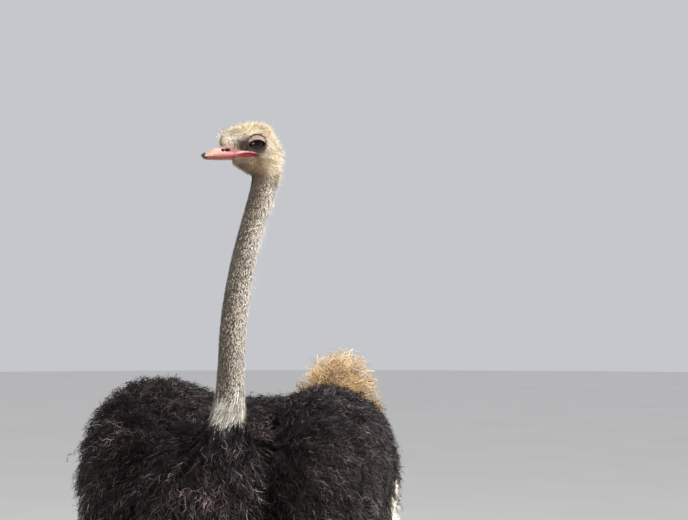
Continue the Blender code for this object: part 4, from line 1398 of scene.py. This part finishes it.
# %% One half of the bill
def bill_piece(name, upper):
    """One half of the bill, with its colours. It is named and slotted here, and the solid that it takes the
    place of is hidden later.
    """
    around = np.arange(BILL_COLUMNS) * 2 * math.pi / BILL_COLUMNS
    x, y = np.cos(around)[None, :], np.sin(around)[None, :]
    outer_side, inner_side = np.clip(y, 0, 1), np.clip(-y, 0, 1)  # the inner side faces the other half
    a = np.broadcast_to(stations[:, None], (BILL_ROWS, BILL_COLUMNS)).copy()
    half, gape = bill_half[:, None], bill_gape[:, None]
    if upper:
        height = (bill_top - bill_gape)[:, None]
        out = gape + height * outer_side**0.88 - 0.0010 * inner_side**0.5
        l = half * np.sign(x) * np.abs(x) ** 0.86
        across_share = l / half
        ridge = bump(across_share, 0, 0.26) * ramp(y, 0, 0.5)
        out += 0.0014 * ridge * ramp(a, 0.062, 0.085)
        groove = 0.0009 * bump(np.abs(across_share), 0.46, 0.16) * ramp(y, 0, 0.4)
        out -= groove * ramp(a, 0.062, 0.08) * ramp(a, 0.122, 0.112)
        slit = nostril(a, out) * ramp(np.abs(across_share), 0.3, 0.5) * (y > 0)
        l -= np.sign(l) * 0.0056 * slit
        out += 0.0008 * ramp(a, 0.1150, 0.1175) * ramp(np.abs(across_share), 0.80, 0.60) * ramp(y, 0, 0.3)
        lip = bump(y, 0.12, 0.16)
        l = l * (1 + 0.03 * lip)
        dark = ramp(a + 0.0012 * np.cos(9 * across_share), 0.1175, 0.1205)
    else:
        height = (bill_gape - bill_under)[:, None]
        out = gape - 0.0012 - (height - 0.0012) * outer_side**0.75 + 0.0003 * inner_side
        l = 0.95 * half * np.sign(x) * np.abs(x) ** 0.80
        a = a - 0.0030 * ramp(a, 0.10, 0.1285)
        across_share = l / half
        out += 0.0007 * bump(np.abs(across_share), 0.5, 0.12) * ramp(y, 0, 0.4) * ramp(a, 0.05, 0.07)
        slit = np.zeros_like(out)
        dark = ramp(a, 0.1120, 0.1155)
    shape = from_head(a, l, out)
    tip = np.array([stations[-1] + (0.0006 if upper else -0.0026)])
    end = from_head(tip, np.zeros(1), np.array([out[-1].mean()]))[0]
    start = shape[0].mean(axis=0)
    points, triangles = capped(shape, shape.shape[:2], start, end)
    if np.linalg.det(points[triangles[: len(triangles) // 2]] - points.mean(axis=0)).sum() < 0:
        triangles = triangles[:, ::-1]
    a, l, u = np.moveaxis(head_frame(points), -1, 0)
    # The lower half is dark red-brown, partly its own colour and partly painted shade, for it lies under the
    # upper half.
    horn = [0.47, 0.30, 0.245] if upper else [0.20, 0.062, 0.036]
    rise = u - mouth_height(a)
    low_on_bill = np.maximum(ramp(rise, 0.014, 0.006), ramp(a, 0.078, 0.062))
    colour = blend(horn, PINK, ramp(a, 0.105, 0.066) * low_on_bill * upper)
    colour = blend(colour, [0.66, 0.45, 0.40], 0.7 * ramp(rise, 0.012, 0.020) * upper)
    colour = blend(colour, [0.31, 0.225, 0.17], 0.8 * ramp(a, 0.092, 0.112) * upper)
    colour = blend(colour, CRIMSON * 1.1, 0.8 * bump(rise, 0.0022, 0.0022) * ramp(a, 0.112, 0.080) * upper)
    colour = blend(colour, [0.24, 0.045, 0.032], 0.5 * (1 - upper) * ramp(a, 0.06, 0.10))
    dark = np.concatenate([dark.ravel(), [0.0, 1.0]])  # the last two points close the rear and the tip
    colour = blend(colour, [0.026, 0.017, 0.013], 0.97 * dark)
    slit = np.concatenate([slit.ravel(), [0, 0]])
    colour = blend(colour, [0.010, 0.004, 0.004], np.clip(2.6 * slit - 0.2, 0, 1))
    edge = bump(rise, 0.0008, 0.0011) * ramp(a, 0.085, 0.11) * upper
    colour = blend(colour, [0.38, 0.25, 0.17], 0.5 * edge * (1 - dark))
    piece = new_piece(name, points, triangles, tint=np.clip(colour, 0, 1), material=bill_look)
    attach(piece, "root")
    return piece


# %% Both halves of the bill
bill_look, tree, shader = new_material("bill_horn", 0.42, subsurface=0.1, coat=0.05, specular=0.35)
grain = noise(tree, 240.0, 5.0, 0.65)
flakes = noise(tree, 60.0, 4.0, 0.6)
colour = shaded(tree, tinted(tree, grain, 0.8, 1.15), from_noise(tree, flakes, 0.85, 1.12))
tree.links.new(colour, shader.inputs["Base Color"])
tree.links.new(from_noise(tree, flakes, 0.30, 0.48), shader.inputs["Roughness"])
bumped(tree, shader, grain, 0.3, 0.0006)
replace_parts(bill_piece("bill_top", True), "bill_upper")
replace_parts(bill_piece("bill_tray", False), "bill_lower")
print("bill widest", round(2 * bill_half.max(), 4), "long", round(stations[-1] - stations[0], 4))

# %% [markdown]
# ## Nails and leg scales
# The great toe has a broad blunt nail and the small toe a little one. They are copies of the solids,
# remeshed fine and softened. A row of broad scales, each lapping the next, runs down the front of the shank
# and along the toes. A strip is laid over the front of the leg by looking at the skin from in front, ring
# by ring, and its thickness rises and drops like the teeth of a saw, which makes each lap a real edge. A
# bump pattern alone would leave the outline of shank and toes smooth.

# %% Nails
claw_look, tree, shader = new_material("claw_horn", 0.42, specular=0.5)
grain = noise(tree, 160.0, 5.0, 0.65, (1, 0.35, 1))
horn = two_tones(tree, grain, (0.045, 0.030, 0.022), (0.19, 0.125, 0.085))
tree.links.new(horn, shader.inputs["Base Color"])
tree.links.new(from_noise(tree, grain, 0.3, 0.55), shader.inputs["Roughness"])
bumped(tree, shader, grain, 0.5, 0.001)
for side in "lr":
    for kind in ("main", "outer"):
        nail = remeshed(f"nail_{kind}_{side}", [f"claw_{kind}_{side}"], 0.0011, 5)
        nail.data.materials.clear()
        nail.data.materials.append(claw_look)
        nail.data.shade_smooth()
        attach(nail, "root")
        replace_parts(nail, f"claw_{kind}_{side}")
        print(nail.name, len(nail.data.vertices), "points")

# %% Scales down the shank and along the toes
skin_points = points_of(skin)
skin_faces = [tuple(p.vertices) for p in skin.data.polygons]
skin_tree = BVHTree.FromPolygons([tuple(p) for p in skin_points], skin_faces)


def scale_strip(name, path, looks, half_angle, scales, thick, columns=18, rows_each=8):
    """Lapping scales on the side of a limb that `looks` points to, along a path inside the limb."""
    path, looks = np.array(path), unit(np.array(looks))
    rows = scales * rows_each
    share = np.linspace(0, 1, rows)
    keys = np.linspace(0, 1, len(path))
    centre = np.stack([np.interp(share, keys, path[:, k]) for k in range(3)], -1)
    look = unit(np.stack([np.interp(share, keys, looks[:, k]) for k in range(3)], -1))
    run = unit(np.gradient(centre, axis=0))
    look = unit(look - (look * run).sum(-1, keepdims=True) * run)
    beside = np.cross(run, look)
    angles = np.radians(np.linspace(-half_angle, half_angle, columns))
    base = np.empty((rows, columns, 3))
    outward = look[:, None] * np.cos(angles)[None, :, None] + beside[:, None] * np.sin(angles)[None, :, None]
    for i in range(rows):
        for j in range(columns):
            start = centre[i] + outward[i, j] * 0.2
            hit = skin_tree.ray_cast(Vector(start), Vector(-outward[i, j]), 0.2)[0]
            base[i, j] = hit if hit is not None else centre[i] + outward[i, j] * 0.02
    cell = (share * scales) % 1.0
    side_share = np.abs(np.linspace(-1, 1, columns))
    saw = (0.35 + 0.65 * cell)[:, None] * (1 - side_share[None, :] ** 6 * 0.75)  # each thickens downward
    edge = (side_share < 0.98)[None, :]
    top = base + outward * (np.where(edge, thick * saw, -0.0006))[..., None]
    under = base - outward * 0.0008
    index = np.arange(rows * columns).reshape(rows, columns)
    quads = np.stack([index[:-1, :-1], index[1:, :-1], index[1:, 1:], index[:-1, 1:]], -1).reshape(-1, 4)
    below = quads[:, ::-1] + rows * columns
    rim = np.concatenate([index[0, :-1], index[:-1, -1], index[-1, :0:-1], index[:0:-1, 0]])
    after = np.roll(rim, -1)
    walls = np.stack([rim, after, after + rows * columns, rim + rows * columns], -1)
    points = np.concatenate([top.reshape(-1, 3), under.reshape(-1, 3)])
    faces = np.concatenate([quads, below, walls])
    if np.cross(top[1, 0] - top[0, 0], top[0, 1] - top[0, 0]) @ outward[0, 0] < 0:
        faces = faces[:, ::-1]
    lit = np.broadcast_to(cell[:, None], (rows, columns)).ravel()
    tone = np.array([0.44, 0.20, 0.16]) * (1 + 0.2 * waves(top.reshape(-1, 3), 0.03, 61))[:, None]
    # Painted highlight on the thick lower edge of each scale, and painted shade at its thin top under the lap
    # of the scale above.
    tone = blend(tone, [0.52, 0.36, 0.28], 0.5 * ramp(lit, 0.7, 1.0))
    tone = blend(tone, [0.20, 0.10, 0.085], 0.7 * ramp(lit, 0.12, 0.0))
    piece = new_piece(name, points, faces, tint=np.concatenate([tone, tone]), material=scale_look)
    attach(piece, "root")
    return piece


# %% Lay the scales on both legs
for side in "lr":
    low, high = (np.array(c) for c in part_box(f"tarsus_{side}"))
    path = []
    for z in np.linspace(high[2] - 0.045, low[2] + 0.035, 12):
        own_leg = skin_points[:, 0] * (low + high)[0] > 0
        near = skin_points[(np.abs(skin_points[:, 2] - z) < 0.005) & own_leg]
        path.append([*(near.min(axis=0) + near.max(axis=0))[:2] / 2, z])
    scale_strip(f"shank_scales_{side}", path, [FRONT] * 12, 62, 34, 0.0016)
    for kind, bare_share, scales in (("main", 0.42, 13), ("outer", 0.35, 8)):
        toe, claw = corners_of(f"toe_{kind}_{side}"), corners_of(f"claw_{kind}_{side}").mean(axis=0)
        back = toe[np.argsort(np.linalg.norm(toe - claw, axis=1))[-12:]].mean(axis=0)
        start = back + (claw - back) * bare_share
        end = back + (claw - back) * 0.90
        start[2] = end[2] = 0.012
        path = [start + (end - start) * t for t in np.linspace(0, 1, 6)]
        scale_strip(f"toe_scales_{kind}_{side}", path, [UP] * 6, 52, scales, 0.0011, 14, 6)
print("scale strips laid on both legs")

# %% [markdown]
# ## Lashes
# Ostrich lashes are fine bristle-like feathers, long and black, along the upper lid. They start on the rim
# of the opening, fan out forward and rearward, and bend down, so they shade the eye. Their roots come from
# the formula of the lids, so none can start in the air.

# %% Grow the lashes
LASHES = 84
lash_rng = np.random.default_rng(71)
lash_sets = []
for side in (1, -1):
    x = np.linspace(-0.0178, 0.0180, LASHES) + lash_rng.normal(0, 0.0002, LASHES)
    y = UPPER_LID * lid_arch(x) - LID_DROP + 0.0004
    a = x * math.cos(LID_TILT) + y * math.sin(LID_TILT)
    u = -x * math.sin(LID_TILT) + y * math.cos(LID_TILT)
    l = eye_out + np.sqrt(LID_DOME**2 - a**2 - u**2) - 0.0003
    place = from_head(a, side * l, u)
    fan = head_ahead * (x / 0.0192 * 0.55)[:, None]
    way = unit(head_left * side * 0.9 + UP * 0.22 + fan + lash_rng.normal(0, 0.07, (LASHES, 3)))
    dark = np.tile([0.012, 0.009, 0.008], (LASHES, 1))
    unwrap = np.stack([(0.25 if side > 0 else 0.75) + x, np.full(LASHES, 0.93)], -1)
    length = lash_rng.uniform(0.008, 0.013, LASHES)
    bend = np.tile(-UP * 0.45, (LASHES, 1))
    lash_sets.append(ribbons(place, way, unit(UP + way * 0.2), length, 0.0007, bend, unwrap, dark, dark, 4))
coat_pieces("lashes", lash_sets, black_plume)

# %% [markdown]
# ## White wing plumes
# A cock ostrich's wing quills are large white plumes. When he stands with folded wings they show as a pale
# fan behind each flank. Every plume has a strong shaft and long, loose, even barbs that hang from it. They
# are laid out as the solid fan is: all start near one point inside the wing and spread downward. Thin
# sheets with cut edges would need fewer faces, but no light would pass between their barbs.

# %% Grow the wing plumes
def held_inside(points, tree, most):
    """Points farther than `most` outside a solid are drawn back to that distance."""
    points = points.copy()
    for i, p in enumerate(points):
        place, normal, _, distance = tree.find_nearest(Vector(p))
        if distance > most and (Vector(p) - place).dot(normal) > 0:
            points[i] = np.array(place) + (p - np.array(place)) * (most / distance)
    return points


plume_rng = np.random.default_rng(81)
plumes = 34
for letter, side in (("l", 1), ("r", -1)):
    node = f"wing_plumes_{letter}"
    corners = corners_of(node)
    hub = np.array([0.0, corners[:, 1].min() - HUB_AHEAD, corners[:, 2].max() + HUB_ABOVE])
    share = (np.arange(plumes) + 0.5) / plumes
    turn = np.radians(6 + 66 * share) + plume_rng.normal(0, 0.015, plumes)
    reach = (0.535 - 0.155 * share) * plume_rng.uniform(0.93, 1.0, plumes)
    sheet = []
    for k in np.linspace(0.18, 0.97, 7):
        line = hub + np.stack([0 * turn, np.cos(turn), -np.sin(turn)], -1) * (reach * k)[:, None]
        for i, p in enumerate(line):
            close = corners[np.argsort(((corners - p)[:, 1:] ** 2).sum(1))[:6]]
            line[i, 0] = close[:, 0].mean() + side * 0.006 * (i % 3 - 1)
        sheet.append(line)
    sheet = np.array(sheet)  # steps, plumes, xyz
    start, end, mid = sheet[0], sheet[-1], sheet[3]
    way = (mid - start) * 2 - (end - start) * 0.5
    length = np.linalg.norm(way, axis=1)
    bend = (end - start) - way
    flat = unit(np.tile(LEFT * side, (plumes, 1)) + plume_rng.normal(0, 0.3, (plumes, 3)))
    colour = WHITE * plume_rng.uniform(0.82, 1.05, plumes)[:, None]
    plume_set = fringed(start, way / length[:, None], flat, length, bend / length[:, None],
                        nearest_unwrap(start), colour, colour * 0.9, plume_rng, barbs=280, barb=0.17,
                        width=0.0013, droop=0.35, steps=3, open_angle=0.75, shaft=0.0036, wave=0.35)
    points = held_inside(plume_set[0], tree_of(node), 0.014)
    piece = coat_pieces(f"white_plumes_{letter}", [(points, *plume_set[1:])], white_plume)[0]
    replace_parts(piece, node)

# %% [markdown]
# ## Tail
# The tail is a mop of curly, stained plumes cocked above the rump. The solid gives its shape: plumes start
# inside it, nearer to its foot than its surface, and reach for the surface. Points that would leave it are
# drawn back, and a barb that would have to be drawn back far is left out. Placing plumes one by one would
# give the same mop; growing them towards the solid's surface keeps its outline with less work.

# %% Grow the tail
tail_mesh = frame["nodes"]["tail"].data
tail_corners = corners_of("tail")
tail_foot = tail_corners[np.argsort(tail_corners[:, 1])[:20]].mean(axis=0)
rng = np.random.default_rng(91)
plumes = 620
pick = rng.integers(0, len(tail_mesh.polygons), plumes)
face_centres = np.array([tail_mesh.polygons[i].center for i in pick]) + rng.normal(0, 0.008, (plumes, 3))
face_normals = np.array([tail_mesh.polygons[i].normal for i in pick])
start = tail_foot + (face_centres - tail_foot) * rng.uniform(0.10, 0.62, plumes)[:, None]
start = start - face_normals * rng.uniform(0.02, 0.05, plumes)[:, None]
target = face_centres + face_normals * rng.uniform(-0.012, 0.004, plumes)[:, None]
full = target - start
length = np.linalg.norm(full, axis=1)
way = unit(full + UP * length[:, None] * 0.35)
bend = full / length[:, None] - way
flat = unit(face_normals + rng.normal(0, 0.5, (plumes, 3)))
top = ramp(target[:, 2], 1.47, 1.54)
colour = blend([0.48, 0.36, 0.20], [0.66, 0.52, 0.34], top)
colour = blend(colour, [0.55, 0.47, 0.36], ramp(target[:, 0], 0.06, 0.0))
colour = blend(colour, [0.42, 0.26, 0.10], 0.7 * ramp(waves(target, 0.09, 92), 0.1, 0.7))
colour = colour * [0.86, 0.76, 0.62] * rng.uniform(0.25, 1.0, plumes)[:, None]
tail_set = fringed(start, way, flat, length, bend, nearest_unwrap(start), colour, colour * 0.7, rng, barbs=26,
                   barb=0.32, width=0.0016, droop=0.45, steps=4, open_angle=1.0, shaft=0.0020, wave=0.5)
points = held_inside(tail_set[0], tree_of("tail"), 0.016)
strayed = np.linalg.norm(points - tail_set[0], axis=1) > 0.022
kept_faces = tail_set[1][~strayed[tail_set[1]].any(axis=1)]
tail_pieces = coat_pieces("tail_plumes", [(points, kept_faces, *tail_set[2:])], tail_plume)
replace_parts(tail_pieces[0], "tail")

# %% [markdown]
# ## Floor, light and camera
# The bird stands on a wide plain floor under a pale sky of even light. A strong lamp stands high on its
# left. A weaker and wider one fills the shadows from in front on its right, and a third, behind on its
# left, draws the halo of bristles round the head. The camera stands before the bird, a little to its left
# and about 1.8 m up, with a long lens, so that nothing bulges. The sky alone would leave the black plumage
# flat, and a single lamp would leave its far side empty.

# %% Floor
FLOOR_SIDES, FLOOR_RADIUS = 96, 30
around = np.linspace(0, 2 * math.pi, FLOOR_SIDES + 1)[:-1]
rim = FLOOR_RADIUS * np.stack([np.cos(around), np.sin(around), 0 * around], -1)
disc_points = np.concatenate([rim, [[0, 0, 0]]])
disc_faces = np.array([[k, (k + 1) % FLOOR_SIDES, FLOOR_SIDES] for k in range(FLOOR_SIDES)])
floor_look, tree, shader = new_material("studio", 0.85, specular=0.2)
paper = noise(tree, 1.2, 3.0, 0.5)
grey = two_tones(tree, paper, (0.80, 0.785, 0.76), (0.83, 0.815, 0.79))
tree.links.new(grey, shader.inputs["Base Color"])
floor = new_piece("studio_floor", disc_points, disc_faces, material=floor_look)
print("floor radius", FLOOR_RADIUS, "m")

# %% Lights
def area_light(name, place, aim, size, power, colour):
    light = bpy.data.lights.new(name, "AREA")
    light.shape, light.size, light.energy, light.color = "DISK", size, power, colour
    lamp = bpy.data.objects.new(name, light)
    bpy.context.scene.collection.objects.link(lamp)
    lamp.location = place
    lamp.rotation_mode = "QUATERNION"
    lamp.rotation_quaternion = (Vector(aim) - Vector(place)).to_track_quat("-Z", "Y")
    print("lamp", name, power, "W at", place)


area_light("key", (2.8, -1.7, 6.0), (0.05, -0.2, 1.5), 1.2, 500, (1.0, 0.94, 0.85))
area_light("fill", (-1.8, -4.0, 3.4), (0.0, -0.2, 1.6), 2.0, 140, (1.0, 0.98, 0.95))
area_light("rim", (3.2, 1.6, 2.7), (0.05, -0.3, 1.6), 1.2, 190, (1.0, 0.97, 0.92))
world = bpy.data.worlds.new("studio_air")
world.use_nodes = True
world.node_tree.nodes["Background"].inputs["Color"].default_value = (0.93, 0.95, 1.0, 1)
world.node_tree.nodes["Background"].inputs["Strength"].default_value = 0.60
bpy.context.scene.world = world
bpy.context.scene.view_settings.view_transform = "Standard"

# %% Camera
azimuth, pitch = math.radians(16), math.radians(0.228)
away, aside, below = 4.7195, 0.2072, 0.288  # metres from the middle of the head
forward = Vector((-math.sin(azimuth) * math.cos(pitch), math.cos(azimuth) * math.cos(pitch), math.sin(pitch)))
camera = bpy.data.objects.new("camera", bpy.data.cameras.new("camera"))
bpy.context.scene.collection.objects.link(camera)
camera.data.lens = 105.0
camera.data.sensor_width = 36.0
level_ahead = Vector((-math.sin(azimuth), math.cos(azimuth), 0))
level_right = Vector((math.cos(azimuth), math.sin(azimuth), 0))
camera.location = Vector(head_centre) - level_ahead * away + level_right * aside - Vector(UP) * below
camera.rotation_mode = "QUATERNION"
camera.rotation_quaternion = forward.to_track_quat("-Z", "Y")
bpy.context.scene.camera = camera
print("camera at", [round(v, 3) for v in camera.location])
